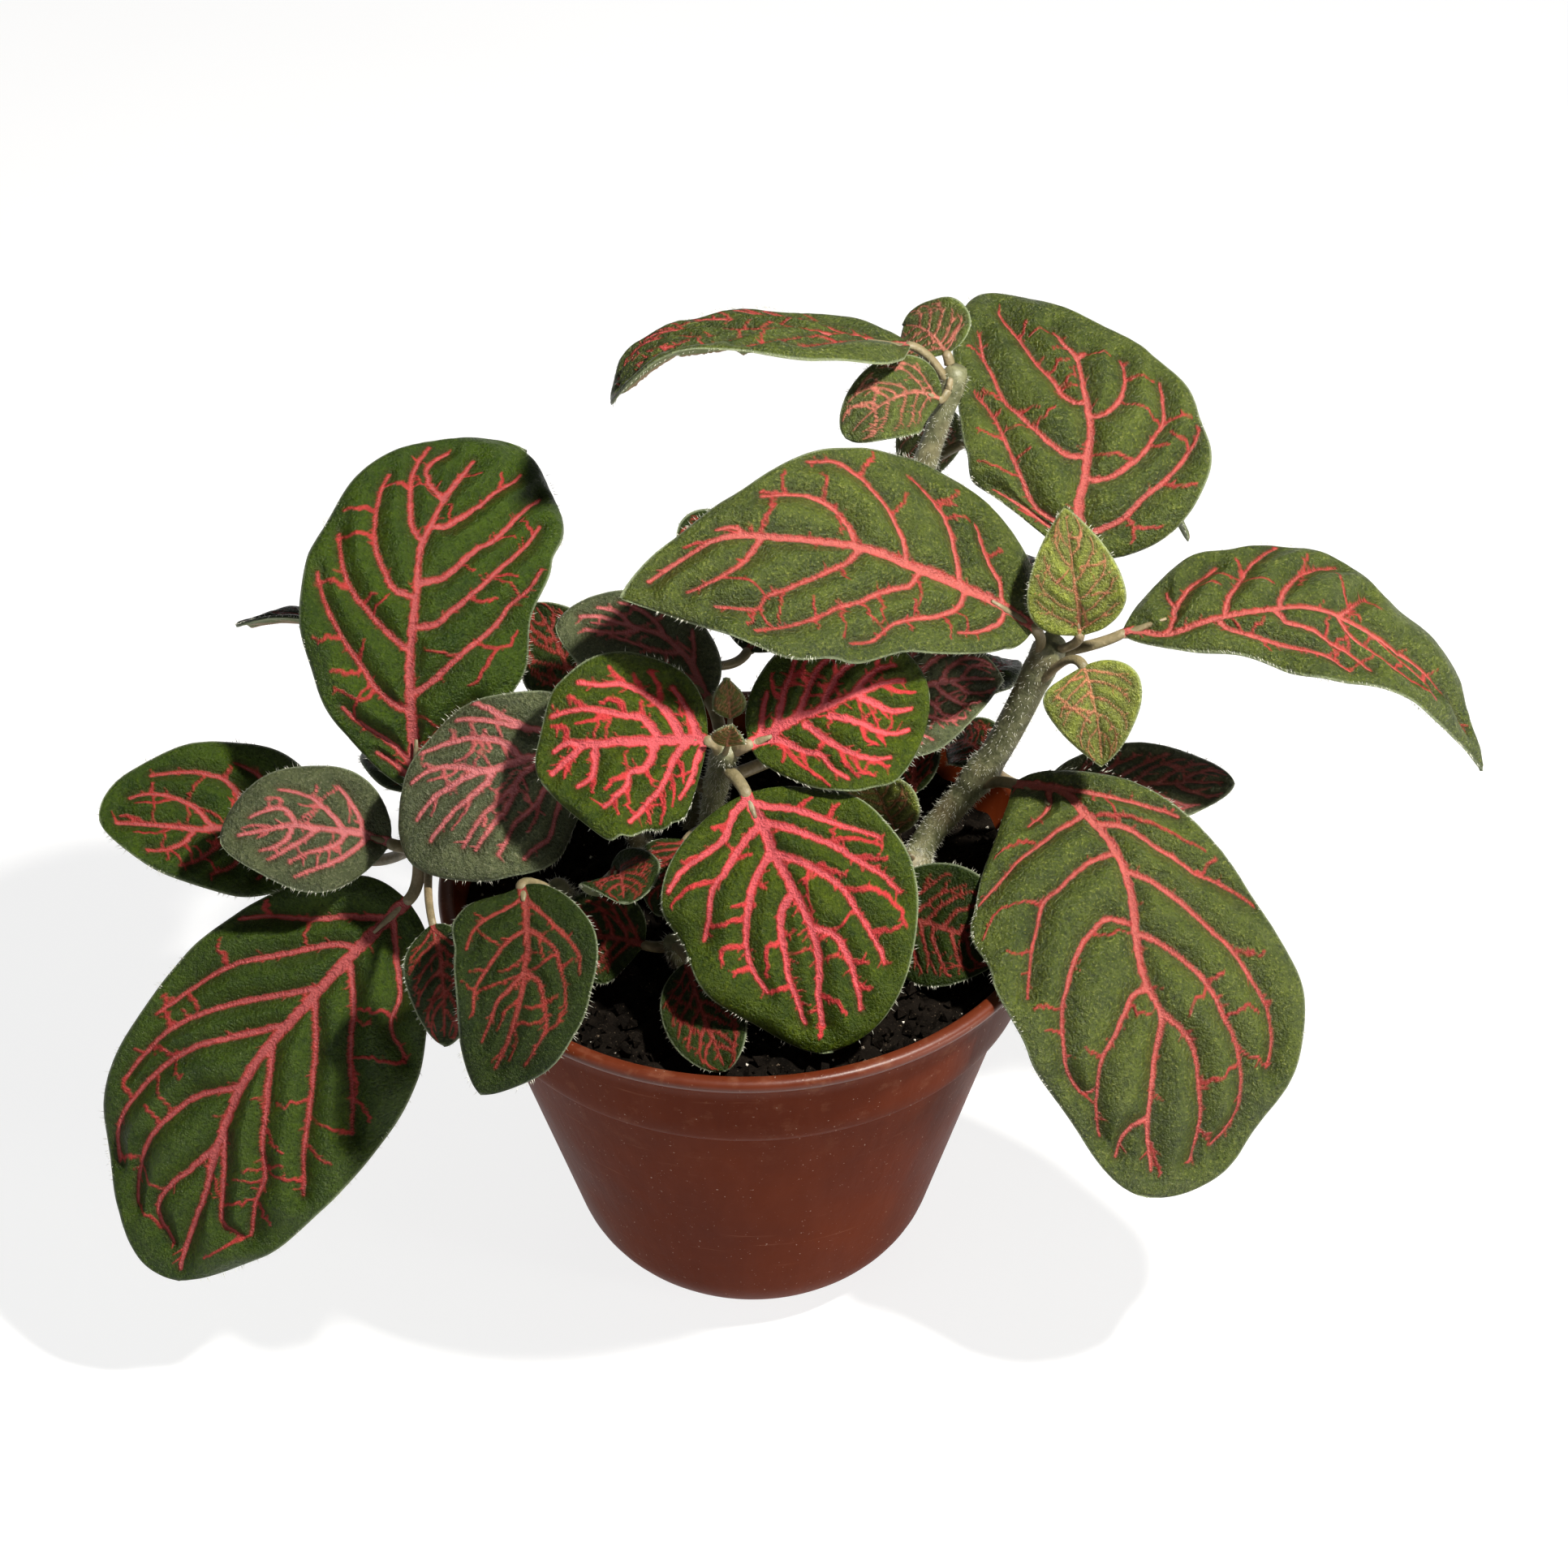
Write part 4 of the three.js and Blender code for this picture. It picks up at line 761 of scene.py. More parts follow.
def rings(profile, sides):
    """Level circles of points round the pot's axis, one for each radius and height."""
    angle = np.linspace(0, 2 * np.pi, sides, endpoint=False)
    radius, height = np.array(profile, float).T
    x, y = np.outer(radius, np.cos(angle)), np.outer(radius, np.sin(angle))
    return np.stack([x, y, np.outer(height, np.ones(sides))], 2).reshape(-1, 3)


def tube(path, radii, sides, across=None, flatten=1.0):
    """A closed tube along path. across sets its frame's first direction, and flatten squeezes the other."""
    tangent = unit(np.gradient(path, axis=0))
    if across is None:
        across = np.cross(tangent, (0.31, 0.9, 0.17))
    first = unit(across - tangent * np.sum(across * tangent, axis=1, keepdims=True))
    second = np.cross(tangent, first)
    angle = np.linspace(0, 2 * np.pi, sides, endpoint=False)
    ring = first[:, None] * np.cos(angle)[:, None] + flatten * second[:, None] * np.sin(angle)[:, None]
    points = (path[:, None] + ring * np.asarray(radii)[:, None, None]).reshape(-1, 3)
    return np.vstack([points, path[:1], path[-1:]]), ring_faces(len(path), sides)


def cones(roots, tips, radius):
    """Three-sided closed cones, one from each root to its tip."""
    axis = unit(tips - roots)
    side = unit(np.cross(axis, (0.23, 0.41, 0.88)))
    other = np.cross(axis, side)
    angles = (2 * np.pi * k / 3 for k in range(3))
    ring = [roots + radius * (side * math.cos(angle) + other * math.sin(angle)) for angle in angles]
    a, b, c, d = (np.arange(len(roots)) + k * len(roots) for k in range(4))
    faces = [np.stack(face, 1) for face in ((a, c, b), (a, b, d), (b, c, d), (c, a, d))]
    return np.concatenate([*ring, tips]), np.concatenate(faces)


class Mesh:
    """Collects points in mm, faces with their material, and named values on the points."""

    def __init__(self):
        self.points, self.faces, self.materials, self.values = [], [], [], []
        self.count = 0

    def add(self, points, faces, material, **values):
        for face in faces if isinstance(faces, list) else [faces]:
            self.faces.append(face + self.count)
            self.materials.append(np.broadcast_to(material, len(face)))
        self.points.append(points)
        self.values.append((len(points), values))
        self.count += len(points)

    def build(self, name, materials, smooth=True):
        mesh = bpy.data.meshes.new(name)
        points = np.concatenate(self.points) * MM
        loops = np.concatenate([f.ravel() for f in self.faces])
        sizes = np.concatenate([np.full(len(f), f.shape[1]) for f in self.faces])
        mesh.vertices.add(len(points))
        mesh.vertices.foreach_set("co", points.ravel())
        mesh.loops.add(len(loops))
        mesh.loops.foreach_set("vertex_index", loops)
        mesh.polygons.add(len(sizes))
        mesh.polygons.foreach_set("loop_start", np.concatenate([[0], np.cumsum(sizes)[:-1]]))
        mesh.polygons.foreach_set("material_index", np.concatenate(self.materials))
        mesh.polygons.foreach_set("use_smooth", np.full(len(sizes), smooth))
        for material in materials:
            mesh.materials.append(MATERIALS[material])
        for key in sorted({k for _, values in self.values for k in values}):
            layer = mesh.attributes.new(key, "FLOAT", "POINT")
            column = [np.broadcast_to(values.get(key, 0.0), n) for n, values in self.values]
            layer.data.foreach_set("value", np.concatenate(column).astype(np.float32))
        mesh.update(calc_edges=True)
        mesh.validate()
        piece = bpy.data.objects.new(name, mesh)
        bpy.context.scene.collection.objects.link(piece)
        return piece


def place(piece, node, slot):
    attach(piece, "root")
    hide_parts(node)


# ---------------------------------------------------------------- blades


class Blade:
    """The surface of one leaf's blade: s runs from its base to its tip, and t from -1 to 1 across it."""

    def __init__(self, leaf, phase):
        self.rib = leaf["midrib"]
        self.width = leaf["width"]
        self.outline = OUTLINES[leaf["outline"]]
        self.facing = np.array(leaf["faces"], float)
        self.rise, self.bend = np.radians(leaf["fold"])
        self.phase = phase
        self.margins = leaf.get("margins", (EVEN, EVEN))
        self.petiole = min(max(PETIOLE_SHARE * self.width, PETIOLE_LEAST), PETIOLE_MOST)
        self.steps = np.linspace(0, 1, 400)
        lengths = np.linalg.norm(np.diff(bezier(self.rib, self.steps)[0], axis=0), axis=1)
        self.arc = np.concatenate([[0], np.cumsum(lengths)])
        self.length = self.arc[-1]

    def along(self, s):
        return np.interp(s, self.steps, self.arc)

    def half(self, s):
        widest, base, tip = self.outline
        rising = np.sin(np.pi / 2 * np.clip(s / widest, 0, 1)) ** base
        falling = np.cos(np.pi / 2 * np.clip((s - widest) / (1 - widest), 0, 1)) ** tip
        tip_width = BLADE_TIP_WIDTH * np.clip((1 - s) / BLADE_TIP_LENGTH, 0.15, 1)
        least = np.where(s < 0.5, self.petiole, tip_width) / 2
        return np.maximum(least, self.width / 2 * np.where(s < widest, rising, falling))

    def share(self, s, t):
        """How far a side reaches at s, as a share of the outline, blended between the five places given."""
        spot = np.clip((s - FIRST_SHARE) / SHARE_STEP, 0, len(EVEN) - 1)
        k = np.minimum(spot.astype(int), len(EVEN) - 2)
        blend = smooth_step(spot - k)
        sides = (np.array(side) for side in self.margins)
        right, left = (side[k] * (1 - blend) + side[k + 1] * blend for side in sides)
        return 1 + (np.where(t > 0, right, left) - 1) * np.clip(s / SHARE_START, 0, 1)

    def frames(self, s):
        point, tangent = bezier(self.rib, s)
        facing = self.facing[0] + (self.facing[1] - self.facing[0]) * s[:, None]
        up = unit(facing - tangent * np.sum(facing * tangent, axis=1, keepdims=True))
        return point, tangent, up, np.cross(tangent, up)

    def surface(self, s, t):
        """Points and normals of the middle of the blade, at matching arrays of s and t."""
        point, _, up, right = self.frames(s)
        spread = np.clip(s / FOLD_START, 0, 1)
        size = np.abs(t)
        chord = self.half(s) * self.share(s, t) * size
        slope = spread * (self.rise + self.bend * size / 2)
        lean = spread * (self.rise + self.bend * size) * np.clip(size / FOLD_START, 0, 1)
        wave = self.half(s) * MARGIN_WAVE * t * t * np.sin(2 * np.pi * MARGIN_WAVES * s + self.phase + t)
        out = right * np.sign(t)[:, None]
        normal = up * np.cos(lean)[:, None] - out * np.sin(lean)[:, None]
        lift = chord * np.sin(slope) + spread * wave
        return point + out * (chord * np.cos(slope))[:, None] + up * lift[:, None], normal


# ---------------------------------------------------------------- veins
#
# A net is a list of veins, each of them (points, first width, last width, is it major). The points are
# how far along the midrib, and how far across it as a share of the outline's half width.


def smooth_walk(random, count, size):
    """A wandering offset that starts and ends near 0."""
    walk = np.cumsum(random.normal(0, 1, count))
    walk = walk - np.linspace(walk[0], walk[-1], count)
    return size * walk / max(1.0, np.abs(walk).max())


def wander(random, count, along, across):
    return np.stack([smooth_walk(random, count, along), smooth_walk(random, count, across)], 1)


def drawn_vein(text, random, size):
    """A smooth path through drawn points, with a slight wander."""
    points = np.array([[float(n) for n in pair.split()] for pair in text.split(",")])
    count = 6 * len(points) + 6
    u = np.linspace(0, 1, count)
    if len(points) > 2:
        path = catmull_rom(np.column_stack([points, 0 * points[:, 0]]), u)[:, :2]
    else:
        path = points[0] + (points[1] - points[0]) * u[:, None]
    return path + wander(random, count, 0.4 * size, size)


def drawn_net(veins, kind, random):
    side, fine = kind["side"], kind["taper"] * kind["side"]
    net = [(drawn_vein(veins["rib"], random, 0.006), kind["rib"], 0.6 * side, True)]
    for rank, size, first, last in (("major", 0.01, side, fine), ("minor", 0.02, 1.3 * fine, 0.3 * side)):
        for text in veins[rank].split(";"):
            net.append((drawn_vein(text, random, size), first, last, rank == "major"))
    return net


def grown_twig(path, sign, random):
    """A branch of a secondary vein, towards the margin or else towards the tip and the midrib."""
    root = int(random.uniform(6, 24))
    inward = random.choice([-1, 1]) > 0
    step = np.array([0.025, sign * 0.13]) * random.uniform(0.5, 1.4)
    if inward:
        step = np.array([0.07, -sign * 0.05]) * random.uniform(0.5, 1.2)
    bow = np.linspace(0, 1, 6)[:, None]
    return path[root] + step * bow + np.array([0.025, 0]) * bow**2 + wander(random, 6, 0.006, 0.015)


def grown_net(blade, kind, random):
    """A made-up net: a midrib, secondaries on both sides that fork near the margin, and their twigs."""
    width = kind["side"]
    s = np.linspace(0, VEINS_END, 40)
    net = [(np.stack([s, smooth_walk(random, 40, 0.03)], 1), kind["rib"], 0.4 * width, True)]
    u = np.linspace(0, 1, SECONDARY_STEPS)
    bow = np.linspace(0, 1, 8)[:, None]
    for sign, shift in ((1, 0.0), (-1, LEFT_SHIFT)):
        paths = []
        spread = random.uniform(-0.02, 0.02, kind["pairs"])
        for start in np.linspace(*SECONDARY_STARTS, kind["pairs"]) + spread + shift:
            reach = min(SECONDARY_REACH * random.uniform(0.75, 1.05), VEINS_END - start)
            end = SECONDARY_END * random.uniform(0.86, 1.0) * (1 - 0.35 * max(0, start - 0.4))
            along = start + reach * u**1.25 + smooth_walk(random, SECONDARY_STEPS, 0.01)
            across = sign * end * (1 - (1 - u) ** 1.2) + smooth_walk(random, SECONDARY_STEPS, 0.03)
            path = np.stack([along, across], 1)
            scale = min(1.0, 0.55 + blade.half(np.array([start + 0.1]))[0] / blade.width)
            fork = path[FORK_STEP] + np.array([0.01, 0.3 * sign * end]) * bow + np.array([0.02, 0]) * bow**2
            net.append((path, width * scale, 0.4 * width * scale, True))
            net.append((fork, 0.55 * width * scale, 0.3 * width * scale, False))
            paths.append(path)
        for path in paths:
            for _ in range(kind["twigs"]):
                net.append((grown_twig(path, sign, random), 0.5 * width, 0.22 * width, False))
    return net


def hairline_net(blade, majors, random):
    """Faint veins between neighbouring majors, some of them left unfinished."""
    net = []
    for _ in range(int(HAIRLINES * blade.length * blade.width)):
        a, b = (majors[int(random.integers(len(majors)))] for _ in range(2))
        near = a[int(random.uniform(0.25, 0.9) * (len(a) - 1))]
        gaps = np.hypot((b[:, 0] - near[0]) * blade.length, (b[:, 1] - near[1]) * blade.width / 2)
        far = b[int(np.argmin(gaps))]
        if HAIRLINE_GAPS[0] < gaps.min() < HAIRLINE_GAPS[1]:
            grown = np.linspace(0, random.choice([0.5, 0.75, 1.0]), 8)[:, None]
            path = near + (far - near) * grown + wander(random, 8, 0.01, 0.03)
            net.append((path, *HAIRLINE_WIDTHS, False))
    return net


def spur_net(blade, net, kind, random):
    """Short side veins that make the others look jagged."""
    spurs = []
    for path, first, _, major in net:
        x = blade.along(path[:, 0])
        y = path[:, 1] * blade.half(path[:, 0])
        reached = np.concatenate([[0], np.cumsum(np.hypot(np.diff(x), np.diff(y)))])
        count = int(reached[-1] * kind["spurs"] * (1.0 if major else 0.7))
        for spot in random.uniform(0, reached[-1], count):
            n = max(1, min(int(np.searchsorted(reached, spot)), len(path) - 1))
            turn = random.choice([-1, 1]) * random.uniform(0.7, 1.4)
            heading = math.atan2(y[n] - y[n - 1], x[n] - x[n - 1]) + turn
            size = random.uniform(0.35, 1.0) * (0.5 + first)
            half = max(1.0, blade.half(path[n, :1])[0])
            step = np.array([math.cos(heading) * size / blade.length, math.sin(heading) * size / half])
            spurs.append((np.array([path[n], path[n] + step]), *SPUR_WIDTHS, False))
    return spurs


def vein_net(name, blade, kind, random):
    net = drawn_net(VEINS[name], kind, random) if name in VEINS else grown_net(blade, kind, random)
    net += hairline_net(blade, [path for path, _, _, major in net if major], random)
    return net + spur_net(blade, net, kind, random)


def vein_field(blade, veins, s, t, random):
    """How much of a vein each point is (0 to 1), the same for major veins, and mm to the nearest major."""
    x = blade.along(s)
    ss, tt = np.meshgrid(s, t, indexing="ij")
    y = tt * blade.half(ss) * blade.share(ss, tt)
    jag = value_noise(random, np.broadcast_to(x[:, None], y.shape), y, JAG_SPACING)
    vein, major_vein, away = np.zeros(y.shape), np.zeros(y.shape), np.full(y.shape, FARTHEST)
    for path, first, last, major in veins:
        along = np.clip(path[:, 0], 0, VEIN_LAST)
        px = blade.along(along)
        edge = VEIN_EDGE * blade.half(along) * blade.share(along, path[:, 1])
        py = np.clip(path[:, 1] * blade.half(along), -edge, edge)
        widths = np.linspace(first, last, len(path))
        for k in range(len(path) - 1):
            reach = widths[k] / 2 + (MAJOR_NEAR if major else VEIN_NEAR)
            r0, r1 = np.searchsorted(x, (min(px[k], px[k + 1]) - reach, max(px[k], px[k + 1]) + reach))
            if r1 <= r0:
                continue
            dx, dy = px[k + 1] - px[k], py[k + 1] - py[k]
            qx, qy = x[r0:r1, None] - px[k], y[r0:r1] - py[k]
            u = np.clip((qx * dx + qy * dy) / max(dx * dx + dy * dy, 1e-9), 0, 1)
            gap = np.hypot(qx - u * dx, qy - u * dy)
            radius = (widths[k] * (1 - u) + widths[k + 1] * u) / 2 * (1 + JAG * jag[r0:r1])
            here = np.clip(0.5 + (radius - gap) / (VEIN_BLUR[0] + VEIN_BLUR[1] * radius), 0, 1)
            np.maximum(vein[r0:r1], here, out=vein[r0:r1])
            if major:
                np.maximum(major_vein[r0:r1], here, out=major_vein[r0:r1])
                np.minimum(away[r0:r1], gap, out=away[r0:r1])
    return vein.ravel(), major_vein.ravel(), away.ravel()


# ---------------------------------------------------------------- leaves


def blade_grid(blade, cell):
    """Even steps along and across the blade, drawn a little together towards its ends and margins."""
    rows = int(np.clip(blade.length / cell, *ROWS))
    columns = int(np.clip(blade.width / cell, *COLUMNS)) | 1
    s, t = np.linspace(0, 1, rows), np.linspace(-1, 1, columns)
    return 0.5 * s + 0.25 * (1 - np.cos(np.pi * s)), 0.75 * t + 0.25 * np.sin(np.pi / 2 * t)


def make_leaf(name, leaf, phase, random):
    kind_name = next((k for k, names in KIND_OF.items() if name in names), DEFAULT_KIND)
    kind = dict(zip(KIND_VALUES, KINDS[kind_name]))
    shrink = min(1.0, SMALL_LEAF_VEINS + leaf["width"] / VEIN_GROWTH)
    kind.update(rib=kind["rib"] * shrink, side=kind["side"] * shrink)
    blade = Blade(leaf, phase)
    s, t = blade_grid(blade, kind["cell"])
    veins = vein_net(name, blade, kind, random)
    vein, major, away = vein_field(blade, veins, s, t, random)

    ss, tt = (a.ravel() for a in np.meshgrid(s, t, indexing="ij"))
    x, half, side = blade.along(ss), blade.half(ss) * blade.share(ss, tt), np.abs(tt)
    y, to_margin, to_tip = tt * half, (1 - side) * half, (1 - ss) * blade.length
    point, normal = blade.surface(ss, tt)
    ends = np.clip(ss / RELIEF_ENDS, 0, 1) * np.clip((1 - ss) / RELIEF_ENDS, 0, 1)
    fade = np.clip(to_margin / RELIEF_MARGIN, 0, 1) * ends
    between = 1 - np.exp(-((away / QUILT_REACH) ** QUILT_RISE))
    swell = kind["quilt"] * (between - QUILT_LEVEL) * fade
    ripple = sum(height * value_noise(random, x, y, spacing) for height, spacing in RIPPLES) * fade
    ruffle = RUFFLE * value_noise(random, x, RUFFLE_SIDES * np.sign(y), RUFFLE_SPACING) * side**3
    ruffle = ruffle * np.clip(ss / RUFFLE_START, 0, 1) * min(1.0, leaf["width"] / RUFFLE_WIDTH)
    grain = GRAIN[0] * value_noise(random, x, y, GRAIN[1])
    rim = np.clip(to_margin / RIM_ROUND, RIM_LEAST, 1) * np.clip(to_tip / RIM_ROUND, RIM_LEAST, 1)
    thick = BLADE_THICKNESS / 2 * rim
    ridge = RIB_RIDGE * major * np.clip(kind["rib"], 0.3, 1.5) * fade
    relief = swell + ripple + ruffle
    top = point + normal * (thick + relief + grain - VEIN_GROOVE * vein * fade)[:, None]
    low = point - normal * (thick - relief + ridge)[:, None]

    mesh = Mesh()
    quads, face_side = sheet_faces(len(s), len(t))
    tone = value_noise(random, x, y, TONE_SPACING)
    values = dict(edge=np.minimum(to_margin, to_tip), tone=tone, between=between, vein=vein, major=major)
    both = {key: np.concatenate([value, value]) for key, value in values.items()}
    mesh.add(np.vstack([top, low]), quads, face_side, **both)
    add_petiole(mesh, blade, leaf)
    add_margin_hairs(mesh, blade, random)
    piece = mesh.build("plant_" + name, ["leaf_" + kind_name, "leaf_under", "leaf_stalk", "hair"])
    place(piece, "leaf_" + name, "leaf")


def add_petiole(mesh, blade, leaf):
    """The stalk, from just inside the stem to the blade's base, and on under the midrib."""
    node = stem_points(leaf["stem"], [leaf["at"]])[0]
    ahead = stem_points(leaf["stem"], [min(1, leaf["at"] + 0.01), max(0, leaf["at"] - 0.01)])
    along = unit(ahead[0] - ahead[1])
    base, tangent = (a[0] for a in bezier(blade.rib, np.array([0.0])))
    reach = base - node
    aside = unit(reach - along * np.dot(reach, along))
    start = node + aside * (STEMS[leaf["stem"]][4] - PETIOLE_SINK)
    bow = base - tangent * np.linalg.norm(reach) / 3
    u = np.linspace(0, 1, PETIOLE_STEPS)[:, None]
    end = np.linspace(*PETIOLE_END, PETIOLE_END_STEPS)
    under = bezier(blade.rib, end)[0] - blade.frames(end)[2] * PETIOLE_END_DEPTH
    path = np.vstack([(1 - u) ** 2 * start + 2 * u * (1 - u) * bow + u**2 * base, under])
    tapers = [np.linspace(*PETIOLE_TAPER, PETIOLE_STEPS), np.linspace(*PETIOLE_END_TAPER, PETIOLE_END_STEPS)]
    across = np.broadcast_to(blade.frames(np.array([0.0]))[3], path.shape)
    radii = np.concatenate(tapers) * blade.petiole
    points, faces = tube(path, radii, PETIOLE_SIDES, across, PETIOLE_THICKNESS / PETIOLE_MOST)
    mesh.add(points, faces, 2)


def add_margin_hairs(mesh, blade, random):
    count = int(MARGIN_HAIRS * blade.length)
    s = np.sort(random.uniform(0.03, 0.995, count))
    t = np.where(random.random(count) < 0.5, -1.0, 1.0) * random.uniform(0.965, 1.0, count)
    point, normal = blade.surface(s, t)
    _, tangent, _, right = blade.frames(s)
    taper = np.clip((s - 0.75) * 4, 0, 1)[:, None]
    out = unit(right * np.sign(t)[:, None] * (1 - 0.7 * taper) + tangent * (0.35 + taper))
    out = unit(out + normal * random.normal(0.15, 0.35, count)[:, None] + random.normal(0, 0.25, (count, 3)))
    length = random.uniform(*MARGIN_HAIR_LENGTH, count) * min(1.0, 0.4 + blade.width / 30)
    points, faces = cones(point, point + out * length[:, None], MARGIN_HAIR_RADIUS)
    mesh.add(points, faces, 3)


# ---------------------------------------------------------------- stems


def make_stem(name, random):
    *points, radius = STEMS[name]
    sunk = (points[0][0], points[0][1], points[0][2] - STEM_DEPTH)
    path = catmull_rom([sunk, *points], np.linspace(0, 1, STEM_STEPS))
    length = np.linalg.norm(np.diff(path, axis=0), axis=1).sum()
    swell = np.zeros(STEM_STEPS)
    for leaf in LEAVES.values():
        if leaf["stem"] == name:
            spot = stem_points(name, [leaf["at"]])[0]
            swell += NODE_SWELL * np.exp(-((np.linalg.norm(path - spot, axis=1) / NODE_REACH) ** 2))
    uneven = 0.03 * np.sin(np.linspace(0, 9, STEM_STEPS))
    radii = radius * (1 + np.minimum(swell, NODE_SWELL_MOST) + uneven)
    radii[-len(STEM_TIP):] *= STEM_TIP
    mesh = Mesh()
    mesh.add(*tube(path, radii, STEM_SIDES), 0)

    count = int(length * radius * STEM_HAIRS)
    last = STEM_STEPS - 1
    n = random.uniform(0.12, 0.99, count) * last
    i = n.astype(int)
    centre = path[i] + (path[np.minimum(i + 1, last)] - path[i]) * (n - i)[:, None]
    tangent = unit(np.gradient(path, axis=0))[i]
    out = unit(np.cross(tangent, random.normal(0, 1, (count, 3))))
    roots = centre + out * (radii[i] - STEM_HAIR_SINK)[:, None]
    lean = unit(out + random.normal(0, 0.3, (count, 3)) - np.array((0, 0, 0.15)))
    tips = roots + lean * random.uniform(*STEM_HAIR_LENGTH, count)[:, None]
    mesh.add(*cones(roots, tips, STEM_HAIR_RADIUS), 1)
    place(mesh.build("stalk_" + name, ["stem", "hair"]), "stem_" + name, "stem")


# ---------------------------------------------------------------- pot and soil


def body_radius(height):
    taper = BODY_FOOT_RADIUS + (BODY_TOP_RADIUS - BODY_FOOT_RADIUS) * height / BAND_FOOT
    under = max(0.0, 1 - height / FOOT_ROUND)
    return taper - FOOT_TUCK * (1 - math.sqrt(1 - under * under))


def band_radius(height):
    return BAND_FOOT_RADIUS + BAND_SLOPE * (height - BAND_FOOT)


def arc(centre, radius, first, last, steps):
    """Points of a round corner in the profile, from one angle to another in degrees."""
    angles = np.radians(np.linspace(first, last, steps))
    return [(centre[0] + radius * math.cos(a), centre[1] + radius * math.sin(a)) for a in angles]


def pot_profile():
    """Radii and heights, up the outside from the foot, over the lip, and down the inside to the floor."""
    lip = LIP_HEIGHT / 2
    foot = [FOOT_ROUND * (1 - math.cos(math.pi / 2 * k / FOOT_STEPS)) for k in range(FOOT_STEPS + 1)]
    body = np.linspace(FOOT_ROUND + 4, BAND_FOOT - 1.0, 7)
    outer = [(body_radius(z), z) for z in (*foot, *body, BAND_FOOT - 0.3)]
    outer += [(BAND_FOOT_RADIUS + r, BAND_FOOT + z) for r, z in ((-0.5, 0.1), (-0.1, 0.5), (0.1, 1.1))]
    outer += [(band_radius(z), z) for z in np.linspace(BAND_FOOT + 2, 61.2, 6)]
    outer += [(BAND_TOP_RADIUS + 0.15, POT_HEIGHT - LIP_HEIGHT - 0.25)]
    outer += arc((RIM_RADIUS - lip, POT_HEIGHT - lip), lip, -60, 90, 9)
    inner = [(BAND_TOP_RADIUS - POT_WALL + 0.5, POT_HEIGHT), (BAND_TOP_RADIUS - POT_WALL, POT_HEIGHT - 0.5)]
    inner += [(BAND_FOOT_RADIUS - POT_WALL, BAND_FOOT + 0.8), (body_radius(BAND_FOOT) - POT_WALL, BAND_FOOT)]
    inner += [(body_radius(z) - POT_WALL, z) for z in (FOOT_ROUND, 7, 4, FLOOR_THICKNESS)]
    return outer + inner


def make_pot():
    profile = pot_profile()
    points = np.vstack([rings(profile, POT_SIDES), (0, 0, 0), (0, 0, FLOOR_THICKNESS)])
    mesh = Mesh()
    mesh.add(points, ring_faces(len(profile), POT_SIDES), 0)
    pot = mesh.build("nursery_pot", ["pot", "lip"])
    drills = Mesh()
    for n in range(DRAIN_HOLES):
        angle = 2 * math.pi * (n + 0.5) / DRAIN_HOLES
        x, y = DRAIN_CIRCLE * math.cos(angle), DRAIN_CIRCLE * math.sin(angle)
        path = np.array([(x, y, z) for z in DRILL_LEVELS])
        drills.add(*tube(path, [DRAIN_RADIUS] * len(path), DRILL_SIDES), 0)
    cutter = drills.build("drill", [])
    cut = pot.modifiers.new("holes", "BOOLEAN")
    cut.object = cutter
    cut.solver = "EXACT"
    depsgraph = bpy.context.evaluated_depsgraph_get()
    cut_mesh = bpy.data.meshes.new_from_object(pot.evaluated_get(depsgraph))
    pot.modifiers.clear()
    pot.data = cut_mesh
    bpy.data.objects.remove(cutter)
    for face in pot.data.polygons:
        face.material_index = int(face.center.z > (POT_HEIGHT - LIP_HEIGHT) * MM)
    place(pot, "pot", "pot")


def soil_height(x, y, random):
    lumps = np.sin(0.31 * x + 1.2) * np.cos(0.37 * y - 0.4) + 0.6 * np.sin(0.83 * x - 0.71 * y)
    fine = 0.55 * value_noise(random, x, y, 3.2) + 0.4 * value_noise(random, x, y, 1.4)
    return SOIL_LEVEL + SOIL_LUMP * lumps + fine + 0.25 * value_noise(random, x, y, 0.7)


def make_soil(random):
    edge = band_radius(SOIL_LEVEL) - POT_WALL - 0.15
    angle = np.linspace(0, 2 * np.pi, SOIL_SIDES, endpoint=False)
    radius = np.linspace(edge, SOIL_CENTRE, SOIL_RINGS)
    x, y = np.outer(radius, np.cos(angle)), np.outer(radius, np.sin(angle))
    z = soil_height(x, y, random)
    wall = [(body_radius(h) - POT_WALL - SOIL_GAP, h) for h in (SOIL_FOOT, 6, FOOT_ROUND, 48)]
    wall += [(BAND_FOOT_RADIUS - POT_WALL - 0.3, BAND_FOOT + 2)]
    surface = np.stack([x, y, z], 2).reshape(-1, 3)
    points = np.vstack([rings(wall, SOIL_SIDES), surface, (0, 0, SOIL_FOOT), (0, 0, z[-1].mean())])
    mesh = Mesh()
    mesh.add(points, ring_faces(len(wall) + SOIL_RINGS, SOIL_SIDES), 0)
    for material, (count, least, most) in enumerate((CRUMBS, GRITS)):
        r = (edge - 1.2) * np.sqrt(random.random(count))
        a = random.uniform(0, 2 * np.pi, count)
        ring = np.clip(((edge - r) / (edge - SOIL_CENTRE) * (SOIL_RINGS - 1)).astype(int), 0, SOIL_RINGS - 1)
        ground = z[ring, (a / (2 * np.pi) * SOIL_SIDES).astype(int) % SOIL_SIDES]
        size = random.uniform(least, most, count)
        centres = np.stack([r * np.cos(a), r * np.sin(a), ground + 0.3 * size], 1)
        add_lumps(mesh, centres, size, material, random)
    place(mesh.build("potting_soil", ["soil", "grit"], smooth=False), "soil", "soil")


